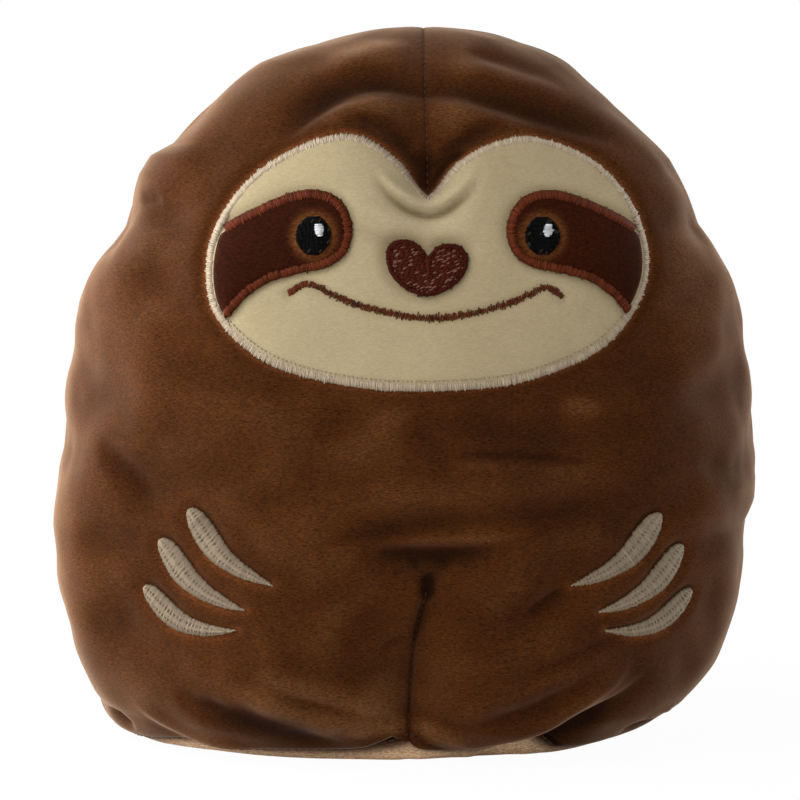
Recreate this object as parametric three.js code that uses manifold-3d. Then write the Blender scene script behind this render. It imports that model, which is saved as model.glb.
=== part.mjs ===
// A stuffed sloth toy of pile cloth: an egg-shaped body with darts at the crown and the belly,
// a sewn-on face with embroidered eyes, nose and mouth, and three embroidered claws on each side.
// Millimetres, +Z up, the face looks along -Y, and the toy rests on z = 0.
// Left and right are as seen from the front.

import * as THREE from 'three';
import { mergeVertices } from 'three/addons/utils/BufferGeometryUtils.js';
import Module from 'manifold-3d';

const wasm = await Module();
wasm.setup();

// Body form
const BODY_HEIGHT = 250;
const BODY_HALF_WIDTH = 123;
const FRONT_DEPTH = 88;
const BACK_DEPTH = 88;
const WIDEST_HEIGHT = 86.5;
const REST_CUT = 0.5; // the underside is pressed flat this deep
const CROWN_LEAN = 5; // the crown's top stands this far to the right
const LEAN_POWER = 12;
const PLAN_POWER = 2.25;
const CROWN_POWER = 2.11;
const BASE_POWER = 12;
const LEFT_TAPER_SHARE = 0.11;
const RIGHT_TAPER_SHARE = 0.28;
const FRONT_TAPER_SHARE = 0.16;
const BACK_TAPER_SHARE = 0.14;

// Creases that the darts and seams draw in, and the swell of the thighs
const NOTCH_CREASE_DEPTH = 5;
const NOTCH_CREASE_HALF_WIDTH = 12;
const NOTCH_CREASE_REACH = 18; // how far the crease runs on below the face's notch
const BELLY_DART_HEIGHT = 62;
const BELLY_DART_TOP_X = 5;
const BELLY_CREASE_DEPTH = 7;
const BELLY_CREASE_HALF_WIDTH = 14;
const BACK_CREASE_DEPTH = 2.5;
const BACK_CREASE_HALF_WIDTH = 12;
const BACK_CREASE_FADE = 45;
const THIGH_SWELL = 5;
const THIGH_RADIUS = 38;
const THIGH_SPACING = 97; // between the middles of the two thighs
const THIGH_HEIGHT = 24;
const HEM_FADE = 12; // creases and swells begin over this height above the hem

// Cloth, thread and clearance
const PILE_CLOTH = 2.4;
const APPLIQUE_CLOTH = 1.2;
const BACKING_CLOTH = 0.8;
const SATIN_RISE = 0.8; // satin stitch stands this far above the cloth beside it
const FILL_RISE = 0.2; // filled embroidery stands this far above the satin beside it
const THREAD_RADIUS = 0.5;
const FIT_GAP = 0.3;
const HEM_HEIGHT = 5;
const OVERRUN = 20; // how far cutting shapes run past what they cut

// Face, with its places as shares of the body's height and half width
const FACE_WIDTH = 150;
const FACE_HEIGHT = 84;
const FACE_BORDER = 3.4;
const FACE_CENTRE_X_SHARE = 0.053;
const FACE_CENTRE_HEIGHT_SHARE = 0.684;
const BACKING_MARGIN = 5;
const FACE_BACKING_CORNER = 36;

// Points of the face's edge from its notch round to the left, as shares of half its width and height
const FACE_OUTLINE_SHARES = [
  [0, 0.576], [-0.15, 0.836], [-0.353, 1], [-0.624, 0.88], [-0.851, 0.58], [-0.988, 0.129],
  [-0.967, -0.381], [-0.743, -0.769], [-0.351, -0.964], [0.027, -1], [0.449, -0.921], [0.812, -0.64],
  [0.987, -0.183], [0.965, 0.314], [0.779, 0.75], [0.504, 0.986], [0.36, 0.985], [0.14, 0.826],
];

// Eye patches, with the right patch's edge as shares of half its width and height; its outer end
// runs on under the face's border, and the left patch is the mirror image
const EYE_PATCH_WIDTH = 46.4;
const EYE_PATCH_HEIGHT = 40.6;
const EYE_PATCH_BORDER = 3.3;
const LEFT_PATCH_PLACE_SHARES = [-0.645, 0.08];
const RIGHT_PATCH_PLACE_SHARES = [0.652, 0.08];
const EYE_PATCH_OUTLINE_SHARES = [
  [-1, 0.33], [-0.92, 0.69], [-0.73, 0.92], [-0.45, 1.01], [-0.2, 0.99], [0.11, 0.88],
  [0.45, 0.7], [0.79, 0.49], [1.1, 0.14], [1.16, -0.3], [1.06, -0.85], [0.83, -1.1],
  [0.54, -0.77], [0.22, -0.51], [-0.22, -0.35], [-0.66, -0.23], [-0.9, -0.02],
];
const EYE_WIDTH = 13.2;
const EYE_HEIGHT = 13.1;
const EYE_PLACE_SHARES = [-0.45, 0.277];
const GLINT_WIDTH = 3.5;
const GLINT_HEIGHT = 4.5;
const GLINT_PLACE_SHARES = [0.3, 0.3];

// Nose, from the notch at its top round to the left, as shares of half its width and height
const NOSE_WIDTH = 27.4;
const NOSE_HEIGHT = 19;
const NOSE_BORDER = 2;
const NOSE_PLACE_SHARES = [-0.009, -0.033];
const NOSE_OUTLINE_SHARES = [
  [0.03, 0.62], [-0.22, 0.8], [-0.58, 1], [-0.9, 0.82], [-1, 0.38], [-0.88, -0.24], [-0.54, -0.73],
  [0, -1], [0.56, -0.73], [0.9, -0.25], [1, 0.27], [0.86, 0.72], [0.52, 0.86], [0.26, 0.74],
];

// Mouth, from its left end to its right end, as shares of half the mouth's width and of its height
const MOUTH_WIDTH = 90.6;
const MOUTH_HEIGHT = 11.2;
const MOUTH_THREAD_WIDTH = 1.9;
const MOUTH_PLACE_SHARES = [-0.015, -0.298];
const MOUTH_LINE_SHARES = [
  [-1, 0.46], [-0.87, 1], [-0.7, 0.48], [-0.48, -0.22], [-0.22, -0.72], [0.03, -1], [0.29, -0.78],
  [0.54, -0.28], [0.77, 0.4], [0.88, 0.8], [1, 0.2],
];

// Claws: the edge as shares of a claw's length, measured along it and out on its bulging side
const CLAW_BULGE_SHARES = [
  [0, 0], [0.02, 0.05], [0.07, 0.1], [0.17, 0.16], [0.3, 0.205], [0.45, 0.215], [0.6, 0.19],
  [0.75, 0.145], [0.88, 0.08], [1, 0],
];
const CLAW_HOLLOW_SHARES = [
  [1, 0], [0.8, 0.018], [0.62, 0.028], [0.5, 0.018], [0.35, -0.02], [0.2, -0.06], [0.1, -0.07],
  [0.03, -0.045],
];

// Each claw's length, its round end's place as shares of the body's half width and height, how many
// degrees its tip points below the level, and how much more it bends; side is -1 on the left
const LEFT_UPPER_LENGTH = 38.3;
const LEFT_MIDDLE_LENGTH = 37.7;
const LEFT_LOWER_LENGTH = 35.4;
const RIGHT_UPPER_LENGTH = 38.7;
const RIGHT_MIDDLE_LENGTH = 36.9;
const RIGHT_LOWER_LENGTH = 34.1;
const CLAWS = [
  { name: 'claw_left_upper', side: -1, length: LEFT_UPPER_LENGTH,
    endShares: [-0.608, 0.352], dip: 39.4, bendShare: 0 },
  { name: 'claw_left_middle', side: -1, length: LEFT_MIDDLE_LENGTH,
    endShares: [-0.694, 0.307], dip: 35.2, bendShare: 0 },
  { name: 'claw_left_lower', side: -1, length: LEFT_LOWER_LENGTH,
    endShares: [-0.738, 0.239], dip: 18.9, bendShare: 0.04 },
  { name: 'claw_right_upper', side: 1, length: RIGHT_UPPER_LENGTH,
    endShares: [0.693, 0.343], dip: 35.5, bendShare: 0.01 },
  { name: 'claw_right_middle', side: 1, length: RIGHT_MIDDLE_LENGTH,
    endShares: [0.763, 0.296], dip: 33.4, bendShare: 0.01 },
  { name: 'claw_right_lower', side: 1, length: RIGHT_LOWER_LENGTH,
    endShares: [0.792, 0.23], dip: 17, bendShare: 0.045 },
];
const CLAW_BACKING_SIZE = 62;
const CLAW_BACKING_CORNER = 12;

// How finely the round forms are faceted
const BODY_COLUMNS = 44;
const CROWN_RINGS = 12;
const COLUMN_CROWDING_SHARE = 0.4; // how much closer columns stand at the middle of front and back
const BASE_RING_SHARES = [0.22, 0.43, 0.61, 0.76, 0.87, 0.935, 0.975, 0.995];
const OUTLINE_STEPS = 3; // edge points to each chosen point of an outline
const ROUND_STEPS = 16;
const SHARPEST_MITRE_SHARE = 0.5;
const CLEAN_EDGE_SHARE = 0.97; // how much of its distance a moved edge's point has to keep

// How far each layer lies out from the skin's outer face
const SKIN = [-PILE_CLOTH, 0];
const BACKING = [-PILE_CLOTH - FIT_GAP - BACKING_CLOTH, -PILE_CLOTH - FIT_GAP];
const STUFFING_TOP = -PILE_CLOTH - FIT_GAP;
const PATCH = [FIT_GAP, FIT_GAP + APPLIQUE_CLOTH];
const FACE_SATIN = [FIT_GAP, PATCH[1] + SATIN_RISE];
const CLAW_FILL = [FIT_GAP, PATCH[1]];
const EYE_PATCH = [PATCH[1] + FIT_GAP, PATCH[1] + FIT_GAP + APPLIQUE_CLOTH];
const PATCH_SATIN = [EYE_PATCH[0], EYE_PATCH[1] + FILL_RISE];
const MOUTH_SATIN = [EYE_PATCH[0], EYE_PATCH[0] + SATIN_RISE];
const EYE_FILL = [EYE_PATCH[0], PATCH_SATIN[1] + FILL_RISE];
const GLINT_FILL = [EYE_PATCH[0], EYE_FILL[1] + FILL_RISE];
const SEAM_THREAD = [-PILE_CLOTH / 2 - THREAD_RADIUS, -PILE_CLOTH / 2 + THREAD_RADIUS];
const SEAM_HALF_WIDTH = THREAD_RADIUS + FIT_GAP;

// Turns a closed geometry into a solid that can be joined and cut
function solidOf(geometry) {
  const bare = new THREE.BufferGeometry();
  bare.setAttribute('position', geometry.getAttribute('position'));
  if (geometry.index) bare.setIndex(geometry.index);
  const merged = mergeVertices(bare);
  return new wasm.Manifold(new wasm.Mesh({
    numProp: 3,
    vertProperties: new Float32Array(merged.getAttribute('position').array),
    triVerts: new Uint32Array(merged.index.array),
  }));
}

// Turns a solid back into a geometry
function geometryOf(solid) {
  const mesh = solid.getMesh();
  const geometry = new THREE.BufferGeometry();
  geometry.setAttribute('position', new THREE.BufferAttribute(new Float32Array(mesh.vertProperties), 3));
  geometry.setIndex(new THREE.BufferAttribute(new Uint32Array(mesh.triVerts), 1));
  geometry.computeVertexNormals();
  return geometry;
}

// A block between two opposite corners
function block(low, high) {
  const size = high.map((value, axis) => value - low[axis]);
  const geometry = new THREE.BoxGeometry(...size);
  geometry.translate(...low.map((value, axis) => value + size[axis] / 2));
  return solidOf(geometry);
}

const REACH = BODY_HEIGHT + BODY_HALF_WIDTH + FRONT_DEPTH + BACK_DEPTH; // past every side of the toy
const ABOVE_FLOOR = block([-REACH, -REACH, 0], [REACH, REACH, REACH]);
const ABOVE_HEM = block([-REACH, -REACH, HEM_HEIGHT + SEAM_HALF_WIDTH], [REACH, REACH, REACH]);
const BELOW_HEM = block([-REACH, -REACH, -REACH], [REACH, REACH, HEM_HEIGHT - SEAM_HALF_WIDTH]);
const FRONT_HALF = block([-REACH, -REACH, -REACH], [REACH, -SEAM_HALF_WIDTH, REACH]);
const BACK_HALF = block([-REACH, SEAM_HALF_WIDTH, -REACH], [REACH, REACH, REACH]);
const LEFT_HALF = block([-REACH, -REACH, -REACH], [-SEAM_HALF_WIDTH, REACH, REACH]);
const RIGHT_HALF = block([SEAM_HALF_WIDTH, -REACH, -REACH], [REACH, REACH, REACH]);

// A smooth line through points; a corner is left sharp where the line starts and ends
function smoothLine(points, closed = false) {
  const curve = new THREE.CatmullRomCurve3(
    points.map(([x, z]) => new THREE.Vector3(x, 0, z)), closed, 'centripetal');
  const spans = closed ? points.length : points.length - 1;
  const line = curve.getPoints(spans * OUTLINE_STEPS).map((point) => [point.x, point.z]);
  return closed ? line.slice(0, -1) : line;
}

// A closed edge through points whose first one is a sharp corner
function cornered(points) {
  return smoothLine([...points, points[0]]).slice(0, -1);
}

// An ellipse about a centre
function ellipse(centre, width, height) {
  return Array.from({ length: ROUND_STEPS }, (_, step) => {
    const angle = (2 * Math.PI * step) / ROUND_STEPS;
    return [centre[0] + (width / 2) * Math.cos(angle), centre[1] + (height / 2) * Math.sin(angle)];
  });
}

// How near a point lies to a closed edge
function nearness([x, z], outline) {
  const point = new THREE.Vector3(x, 0, z);
  const onEdge = new THREE.Vector3();
  return Math.min(...outline.map((start, index) => {
    const end = outline[(index + 1) % outline.length];
    const span = new THREE.Line3(
      new THREE.Vector3(start[0], 0, start[1]), new THREE.Vector3(end[0], 0, end[1]));
    return span.closestPointToPoint(point, true, onEdge).distanceTo(point);
  }));
}

// A closed edge moved outwards by a distance, or inwards where the distance is negative;
// points that a tight bend would fold back over the others are left out
function grown(outline, distance) {
  const turn = THREE.ShapeUtils.isClockWise(outline.map(([x, z]) => new THREE.Vector2(x, z))) ? -1 : 1;
  const count = outline.length;
  const shifted = outline.map(([x, z], index) => {
    const before = outline[(index + count - 1) % count];
    const after = outline[(index + 1) % count];
    const first = new THREE.Vector2(x - before[0], z - before[1]).normalize();
    const second = new THREE.Vector2(after[0] - x, after[1] - z).normalize();
    const along = first.clone().add(second).normalize();
    const stretch = Math.max(along.dot(first), SHARPEST_MITRE_SHARE);
    return [x + (turn * along.y * distance) / stretch, z - (turn * along.x * distance) / stretch];
  });
  return shifted.filter((point) => nearness(point, outline) > Math.abs(distance) * CLEAN_EDGE_SHARE);
}

// The edge of a ribbon along an open line
function ribbon(line, halfWidth) {
  const sides = [[], []];
  line.forEach(([x, z], index) => {
    const before = line[Math.max(index - 1, 0)];
    const after = line[Math.min(index + 1, line.length - 1)];
    const along = new THREE.Vector2(after[0] - before[0], after[1] - before[1]).normalize();
    sides[0].push([x + along.y * halfWidth, z - along.x * halfWidth]);
    sides[1].unshift([x - along.y * halfWidth, z + along.x * halfWidth]);
  });
  return [...sides[0], ...sides[1]];
}

// A solid with an edge drawn in x and z, running from the toy's middle out past its front
function frontPrism(outline) {
  const shape = new THREE.Shape(outline.map(([x, z]) => new THREE.Vector2(x, z)));
  const geometry = new THREE.ExtrudeGeometry(shape, { depth: FRONT_DEPTH + OVERRUN, bevelEnabled: false });
  geometry.rotateX(Math.PI / 2);
  return solidOf(geometry);
}

// Places on the face, as shares of half its width and height
const FACE_CENTRE = [FACE_CENTRE_X_SHARE * BODY_HALF_WIDTH, FACE_CENTRE_HEIGHT_SHARE * BODY_HEIGHT];

function within(centre, width, height, shares) {
  return [centre[0] + (shares[0] * width) / 2, centre[1] + (shares[1] * height) / 2];
}

const onFace = (shares) => within(FACE_CENTRE, FACE_WIDTH, FACE_HEIGHT, shares);
const FACE_NOTCH = onFace(FACE_OUTLINE_SHARES[0]);

// Girth at a height, as a share of the widest girth
function girthShareAt(height, taperShare) {
  if (height >= WIDEST_HEIGHT) {
    const rise = Math.min((height - WIDEST_HEIGHT) / (BODY_HEIGHT - WIDEST_HEIGHT), 1);
    return (1 - rise ** CROWN_POWER) ** (1 / CROWN_POWER);
  }
  const drop = Math.min((WIDEST_HEIGHT - height) / (WIDEST_HEIGHT + REST_CUT), 1);
  return (1 - taperShare * drop ** 2) * (1 - drop ** BASE_POWER) ** (1 / BASE_POWER);
}

// The smooth body's point at an angle around it and a height
function bodyPoint(angle, height) {
  const across = Math.cos(angle);
  const deep = Math.sin(angle);
  const width = BODY_HALF_WIDTH * girthShareAt(height, across < 0 ? LEFT_TAPER_SHARE : RIGHT_TAPER_SHARE);
  const depth = (deep < 0 ? FRONT_DEPTH : BACK_DEPTH)
    * girthShareAt(height, deep < 0 ? FRONT_TAPER_SHARE : BACK_TAPER_SHARE);
  const rise = Math.max((height - WIDEST_HEIGHT) / (BODY_HEIGHT - WIDEST_HEIGHT), 0);
  return new THREE.Vector3(
    width * Math.sign(across) * Math.abs(across) ** (2 / PLAN_POWER) + CROWN_LEAN * rise ** LEAN_POWER,
    depth * Math.sign(deep) * Math.abs(deep) ** (2 / PLAN_POWER),
    height);
}

const falloff = (distance, halfWidth) => Math.exp(-((distance / halfWidth) ** 2));
const crownSeamX = (height) => THREE.MathUtils.mapLinear(
  height, FACE_NOTCH[1], BODY_HEIGHT, FACE_NOTCH[0], CROWN_LEAN);
const bellySeamX = (height) => (BELLY_DART_TOP_X * height) / BELLY_DART_HEIGHT;

// How far the body's surface stands in or out of its smooth form at a point
function formAt({ x, y, z }) {
  if (y > 0) {
    const fade = THREE.MathUtils.smoothstep(z, 0, BACK_CREASE_FADE)
      * THREE.MathUtils.smoothstep(BODY_HEIGHT - z, 0, BACK_CREASE_FADE);
    return -BACK_CREASE_DEPTH * falloff(x, BACK_CREASE_HALF_WIDTH) * fade;
  }
  const above = THREE.MathUtils.clamp((BODY_HEIGHT - z) / (BODY_HEIGHT - FACE_NOTCH[1]), 0, 1);
  const below = falloff(Math.max(FACE_NOTCH[1] - z, 0), NOTCH_CREASE_REACH);
  const notch = -NOTCH_CREASE_DEPTH * above * below * falloff(x - crownSeamX(z), NOTCH_CREASE_HALF_WIDTH);
  const low = THREE.MathUtils.smoothstep(
    -z, -BELLY_DART_HEIGHT - BELLY_CREASE_HALF_WIDTH, -BELLY_DART_HEIGHT / 2);
  const belly = -BELLY_CREASE_DEPTH * low * falloff(x - bellySeamX(z), BELLY_CREASE_HALF_WIDTH);
  const thigh = THIGH_SWELL * falloff(
    Math.hypot(Math.abs(x - bellySeamX(THIGH_HEIGHT)) - THIGH_SPACING / 2, z - THIGH_HEIGHT), THIGH_RADIUS);
  const forward = THREE.MathUtils.smoothstep(-y, 0, FRONT_DEPTH / 2);
  const aboveHem = THREE.MathUtils.smoothstep(z, HEM_HEIGHT, HEM_HEIGHT + HEM_FADE);
  return (notch + belly + thigh) * forward * aboveHem;
}

// The heights of the body's rings of points, from the lowest up
function ringHeights() {
  const base = BASE_RING_SHARES.map((share) => WIDEST_HEIGHT - share * (WIDEST_HEIGHT + REST_CUT)).reverse();
  const crown = Array.from({ length: CROWN_RINGS }, (_, ring) => {
    const rise = Math.sin((Math.PI / 2) * (ring / CROWN_RINGS)) ** (2 / CROWN_POWER);
    return WIDEST_HEIGHT + rise * (BODY_HEIGHT - WIDEST_HEIGHT);
  });
  return [...base, ...crown];
}

// The body's surface as rings of points between a lowest and a highest point
function bodySurface() {
  const points = [new THREE.Vector3(0, 0, -REST_CUT)];
  const heights = ringHeights();
  for (const height of heights) {
    for (let column = 0; column < BODY_COLUMNS; column += 1) {
      const turn = (2 * Math.PI * column) / BODY_COLUMNS;
      points.push(bodyPoint(turn + (COLUMN_CROWDING_SHARE / 2) * Math.sin(2 * turn), height));
    }
  }
  points.push(new THREE.Vector3(CROWN_LEAN, 0, BODY_HEIGHT));
  const faces = [];
  const last = points.length - 1;
  const at = (ring, column) => 1 + ring * BODY_COLUMNS + (column % BODY_COLUMNS);
  for (let column = 0; column < BODY_COLUMNS; column += 1) {
    faces.push(0, at(0, column + 1), at(0, column));
    for (let ring = 0; ring < heights.length - 1; ring += 1) {
      faces.push(at(ring, column), at(ring, column + 1), at(ring + 1, column + 1));
      faces.push(at(ring, column), at(ring + 1, column + 1), at(ring + 1, column));
    }
    faces.push(last, at(heights.length - 1, column), at(heights.length - 1, column + 1));
  }
  return surfaceGeometry(points, faces);
}

function surfaceGeometry(points, faces) {
  const geometry = new THREE.BufferGeometry().setFromPoints(points);
  geometry.setIndex(faces);
  geometry.computeVertexNormals();
  return geometry;
}

// The surface with every point moved out along its normal by a distance that depends on the point
function moved(geometry, distanceAt) {
  const positions = geometry.getAttribute('position');
  const normals = geometry.getAttribute('normal');
  const points = [];
  for (let index = 0; index < positions.count; index += 1) {
    const point = new THREE.Vector3().fromBufferAttribute(positions, index);
    const normal = new THREE.Vector3().fromBufferAttribute(normals, index);
    points.push(point.clone().addScaledVector(normal, distanceAt(point)));
  }
  return surfaceGeometry(points, Array.from(geometry.index.array));
}

const BODY_SURFACE = moved(bodySurface(), formAt);

// Everything inside the body's surface moved out by a distance
function bodySolid(distance) {
  return solidOf(moved(BODY_SURFACE, () => distance));
}

// A layer of cloth or thread between two distances from the skin's outer face
function layer([low, high]) {
  return bodySolid(high).subtract(bodySolid(low)).intersect(ABOVE_FLOOR);
}

// The part of a layer that lies inside an edge drawn on the front
function frontPiece(span, outline) {
  return layer(span).intersect(frontPrism(outline));
}

// A band of a layer along the inside of an edge
function frontBand(span, outline, width) {
  return layer(span).intersect(frontPrism(outline).subtract(frontPrism(grown(outline, -width))));
}

// The crown dart's seam from the top down to the face's notch, and the belly dart's up from the hem
const CROWN_SEAM_LINE = [[crownSeamX(BODY_HEIGHT + OVERRUN), BODY_HEIGHT + OVERRUN], FACE_NOTCH];
const BELLY_SEAM_LINE = [[bellySeamX(-OVERRUN), -OVERRUN], [BELLY_DART_TOP_X, BELLY_DART_HEIGHT]];

// The body's cloth in four panels, with slots along the seams and darts
function panels() {
  const skin = layer(SKIN);
  const upper = skin.intersect(ABOVE_HEM);
  const back = upper.intersect(BACK_HALF);
  const front = upper.intersect(FRONT_HALF)
    .subtract(frontPrism(ribbon(CROWN_SEAM_LINE, SEAM_HALF_WIDTH)))
    .subtract(frontPrism(ribbon(BELLY_SEAM_LINE, SEAM_HALF_WIDTH)));
  return {
    front_panel: front,
    back_panel_left: back.intersect(LEFT_HALF),
    back_panel_right: back.intersect(RIGHT_HALF),
    base_panel: skin.intersect(BELOW_HEM),
  };
}

// The sewing thread that lies in each seam's slot
function seamThreads() {
  const thread = layer(SEAM_THREAD);
  const upper = thread.intersect(ABOVE_HEM);
  const front = upper.intersect(FRONT_HALF);
  const clearOfEnd = (line) => frontPrism(ribbon(line, THREAD_RADIUS));
  return {
    side_seam_thread: upper.intersect(
      block([-REACH, -THREAD_RADIUS, -REACH], [REACH, THREAD_RADIUS, REACH])),
    base_seam_thread: thread.intersect(
      block([-REACH, -REACH, HEM_HEIGHT - THREAD_RADIUS], [REACH, REACH, HEM_HEIGHT + THREAD_RADIUS])),
    back_seam_thread: upper.intersect(BACK_HALF).intersect(
      block([-THREAD_RADIUS, -REACH, -REACH], [THREAD_RADIUS, REACH, REACH])),
    crown_dart_thread: front.intersect(clearOfEnd([
      CROWN_SEAM_LINE[0], [FACE_NOTCH[0], FACE_NOTCH[1] + FIT_GAP]])),
    belly_dart_thread: front.intersect(clearOfEnd([
      BELLY_SEAM_LINE[0], [BELLY_DART_TOP_X, BELLY_DART_HEIGHT - FIT_GAP]])),
  };
}

const FACE_OUTLINE = cornered(FACE_OUTLINE_SHARES.map(onFace));
const INSIDE_FACE_BORDER = grown(FACE_OUTLINE, -FACE_BORDER - FIT_GAP);

// The pale face and the satin stitch round it
function face() {
  return {
    face_patch: frontPiece(PATCH, INSIDE_FACE_BORDER),
    face_border: frontBand(FACE_SATIN, FACE_OUTLINE, FACE_BORDER),
  };
}

// One dark patch with its satin edge, its eye and the eye's glint; side is -1 on the left
function eye(side, name, placeShares) {
  const centre = onFace(placeShares);
  const place = ([x, z]) => within(centre, EYE_PATCH_WIDTH, EYE_PATCH_HEIGHT, [side * x, z]);
  const outline = smoothLine(EYE_PATCH_OUTLINE_SHARES.map(place), true);
  const eyeCentre = place(EYE_PLACE_SHARES);
  const glintCentre = within(eyeCentre, EYE_WIDTH, EYE_HEIGHT, GLINT_PLACE_SHARES);
  const insideFace = frontPrism(INSIDE_FACE_BORDER);
  const pupil = ellipse(eyeCentre, EYE_WIDTH, EYE_HEIGHT);
  const glint = ellipse(glintCentre, GLINT_WIDTH, GLINT_HEIGHT);
  return {
    [`eye_patch_${name}`]: frontPiece(EYE_PATCH, grown(outline, -EYE_PATCH_BORDER - FIT_GAP))
      .intersect(insideFace)
      .subtract(frontPrism(grown(pupil, FIT_GAP))),
    [`eye_patch_border_${name}`]: frontBand(PATCH_SATIN, outline, EYE_PATCH_BORDER).intersect(insideFace),
    [`eye_${name}`]: frontPiece(EYE_FILL, pupil).subtract(frontPrism(grown(glint, FIT_GAP))),
    [`eye_glint_${name}`]: frontPiece(GLINT_FILL, glint),
  };
}

// The heart-shaped nose with its satin edge
function nose() {
  const centre = onFace(NOSE_PLACE_SHARES);
  const outline = cornered(
    NOSE_OUTLINE_SHARES.map((shares) => within(centre, NOSE_WIDTH, NOSE_HEIGHT, shares)));
  return {
    nose: frontPiece(EYE_PATCH, grown(outline, -NOSE_BORDER - FIT_GAP)),
    nose_border: frontBand(PATCH_SATIN, outline, NOSE_BORDER),
  };
}

// The stitched line of the mouth
function mouth() {
  const centre = onFace(MOUTH_PLACE_SHARES);
  const line = smoothLine(
    MOUTH_LINE_SHARES.map((shares) => within(centre, MOUTH_WIDTH, MOUTH_HEIGHT, shares)));
  return { mouth: frontPiece(MOUTH_SATIN, ribbon(line, MOUTH_THREAD_WIDTH / 2)) };
}

// A claw's edge on the front; the claw bulges down and away from the toy's middle
function clawOutline({ side, length, endShares, dip, bendShare }) {
  const end = [endShares[0] * BODY_HALF_WIDTH, endShares[1] * BODY_HEIGHT];
  const turn = THREE.MathUtils.degToRad(dip);
  const along = [-side * Math.cos(turn), -Math.sin(turn)];
  const out = [side * Math.sin(turn), -Math.cos(turn)];
  const place = ([far, bulge]) => {
    const bent = bulge + bendShare * 4 * far * (1 - far);
    return [0, 1].map((axis) => end[axis] + length * (far * along[axis] + bent * out[axis]));
  };
  const bulging = smoothLine(CLAW_BULGE_SHARES.map(place));
  const hollow = smoothLine([...CLAW_HOLLOW_SHARES, CLAW_BULGE_SHARES[0]].map(place));
  return [...bulging.slice(0, -1), ...hollow.slice(0, -1)];
}

function claws() {
  return Object.fromEntries(CLAWS.map((claw) => [claw.name, frontPiece(CLAW_FILL, clawOutline(claw))]));
}

// A rectangular edge with round corners
function roundedRectangle(centre, width, height, corner) {
  return Array.from({ length: ROUND_STEPS }, (_, step) => {
    const angle = (2 * Math.PI * (step + 0.5)) / ROUND_STEPS;
    const across = Math.cos(angle);
    const up = Math.sin(angle);
    return [
      centre[0] + Math.sign(across) * (width / 2 - corner) + corner * across,
      centre[1] + Math.sign(up) * (height / 2 - corner) + corner * up,
    ];
  });
}

// The middle of the claws on one side
function clawMiddle(side) {
  const box = new THREE.Box2();
  for (const claw of CLAWS.filter((each) => each.side === side)) {
    for (const [x, z] of clawOutline(claw)) box.expandByPoint(new THREE.Vector2(x, z));
  }
  return box.getCenter(new THREE.Vector2()).toArray();
}

// The stiff backing behind each piece of embroidery, and the stuffing with room for it
function inside() {
  const besideClaws = (side) => roundedRectangle(
    clawMiddle(side), CLAW_BACKING_SIZE, CLAW_BACKING_SIZE, CLAW_BACKING_CORNER);
  const outlines = {
    face_backing: roundedRectangle(
      FACE_CENTRE, FACE_WIDTH + 2 * BACKING_MARGIN, FACE_HEIGHT + 2 * BACKING_MARGIN, FACE_BACKING_CORNER),
    claw_backing_left: besideClaws(-1),
    claw_backing_right: besideClaws(1),
  };
  const room = [BACKING[0] - FIT_GAP, 0];
  const pieces = {};
  let stuffing = bodySolid(STUFFING_TOP).intersect(ABOVE_FLOOR);
  for (const [name, outline] of Object.entries(outlines)) {
    pieces[name] = frontPiece(BACKING, outline);
    stuffing = stuffing.subtract(frontPiece(room, grown(outline, FIT_GAP)));
  }
  return { stuffing, ...pieces };
}

const BROWN = 0x5a3520;
const FINISHES = {
  stuffing: { color: 0xf2f0ea, roughness: 1 },
  panel: { color: BROWN, roughness: 0.95 },
  face_patch: { color: 0xafa07e, roughness: 0.95 },
  face_border: { color: 0xbdac93, roughness: 0.6 },
  eye_patch: { color: 0x3b1a09, roughness: 0.95 },
  eye_patch_border: { color: 0x602a18, roughness: 0.6 },
  eye: { color: 0x0c0907, roughness: 0.6 },
  eye_glint: { color: 0xdadadc, roughness: 0.5 },
  nose: { color: 0x4b2c21, roughness: 0.9 },
  nose_border: { color: 0x2f120a, roughness: 0.6 },
  mouth: { color: 0x5e3326, roughness: 0.6 },
  claw: { color: 0x8f7e68, roughness: 0.7 },
  backing: { color: 0xe8e8e4, roughness: 0.9 },
  thread: { color: 0x4a2a18, roughness: 0.7 },
};

// Which finish each piece has; the first name found in the piece's own name counts
const FINISH_ORDER = ['stuffing', 'backing', 'thread', 'panel', 'face_patch', 'face_border',
  'eye_patch_border', 'eye_patch', 'eye_glint', 'eye', 'nose_border', 'nose', 'mouth', 'claw'];

function pieceMesh(name, solid) {
  const finish = FINISHES[FINISH_ORDER.find((part) => name.includes(part))];
  const mesh = new THREE.Mesh(geometryOf(solid), new THREE.MeshStandardMaterial({ ...finish, metalness: 0 }));
  mesh.name = name;
  return mesh;
}

const pieces = {
  ...inside(),
  ...panels(),
  ...seamThreads(),
  ...face(),
  ...eye(-1, 'left', LEFT_PATCH_PLACE_SHARES),
  ...eye(1, 'right', RIGHT_PATCH_PLACE_SHARES),
  ...nose(),
  ...mouth(),
  ...claws(),
};

const sloth = new THREE.Group();
for (const [name, solid] of Object.entries(pieces)) sloth.add(pieceMesh(name, solid));

export default sloth;
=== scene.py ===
# A stuffed sloth toy: a velour body with darts at the crown and the belly, a sewn-on face, and
# satin-stitched eyes, nose, mouth and claws. Sizes are millimetres until a mesh is made in metres.
# +Z is up, the face looks along -Y, and left and right are as seen from the front.

import math

import bpy
import numpy as np
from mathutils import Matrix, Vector, geometry, kdtree


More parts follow.
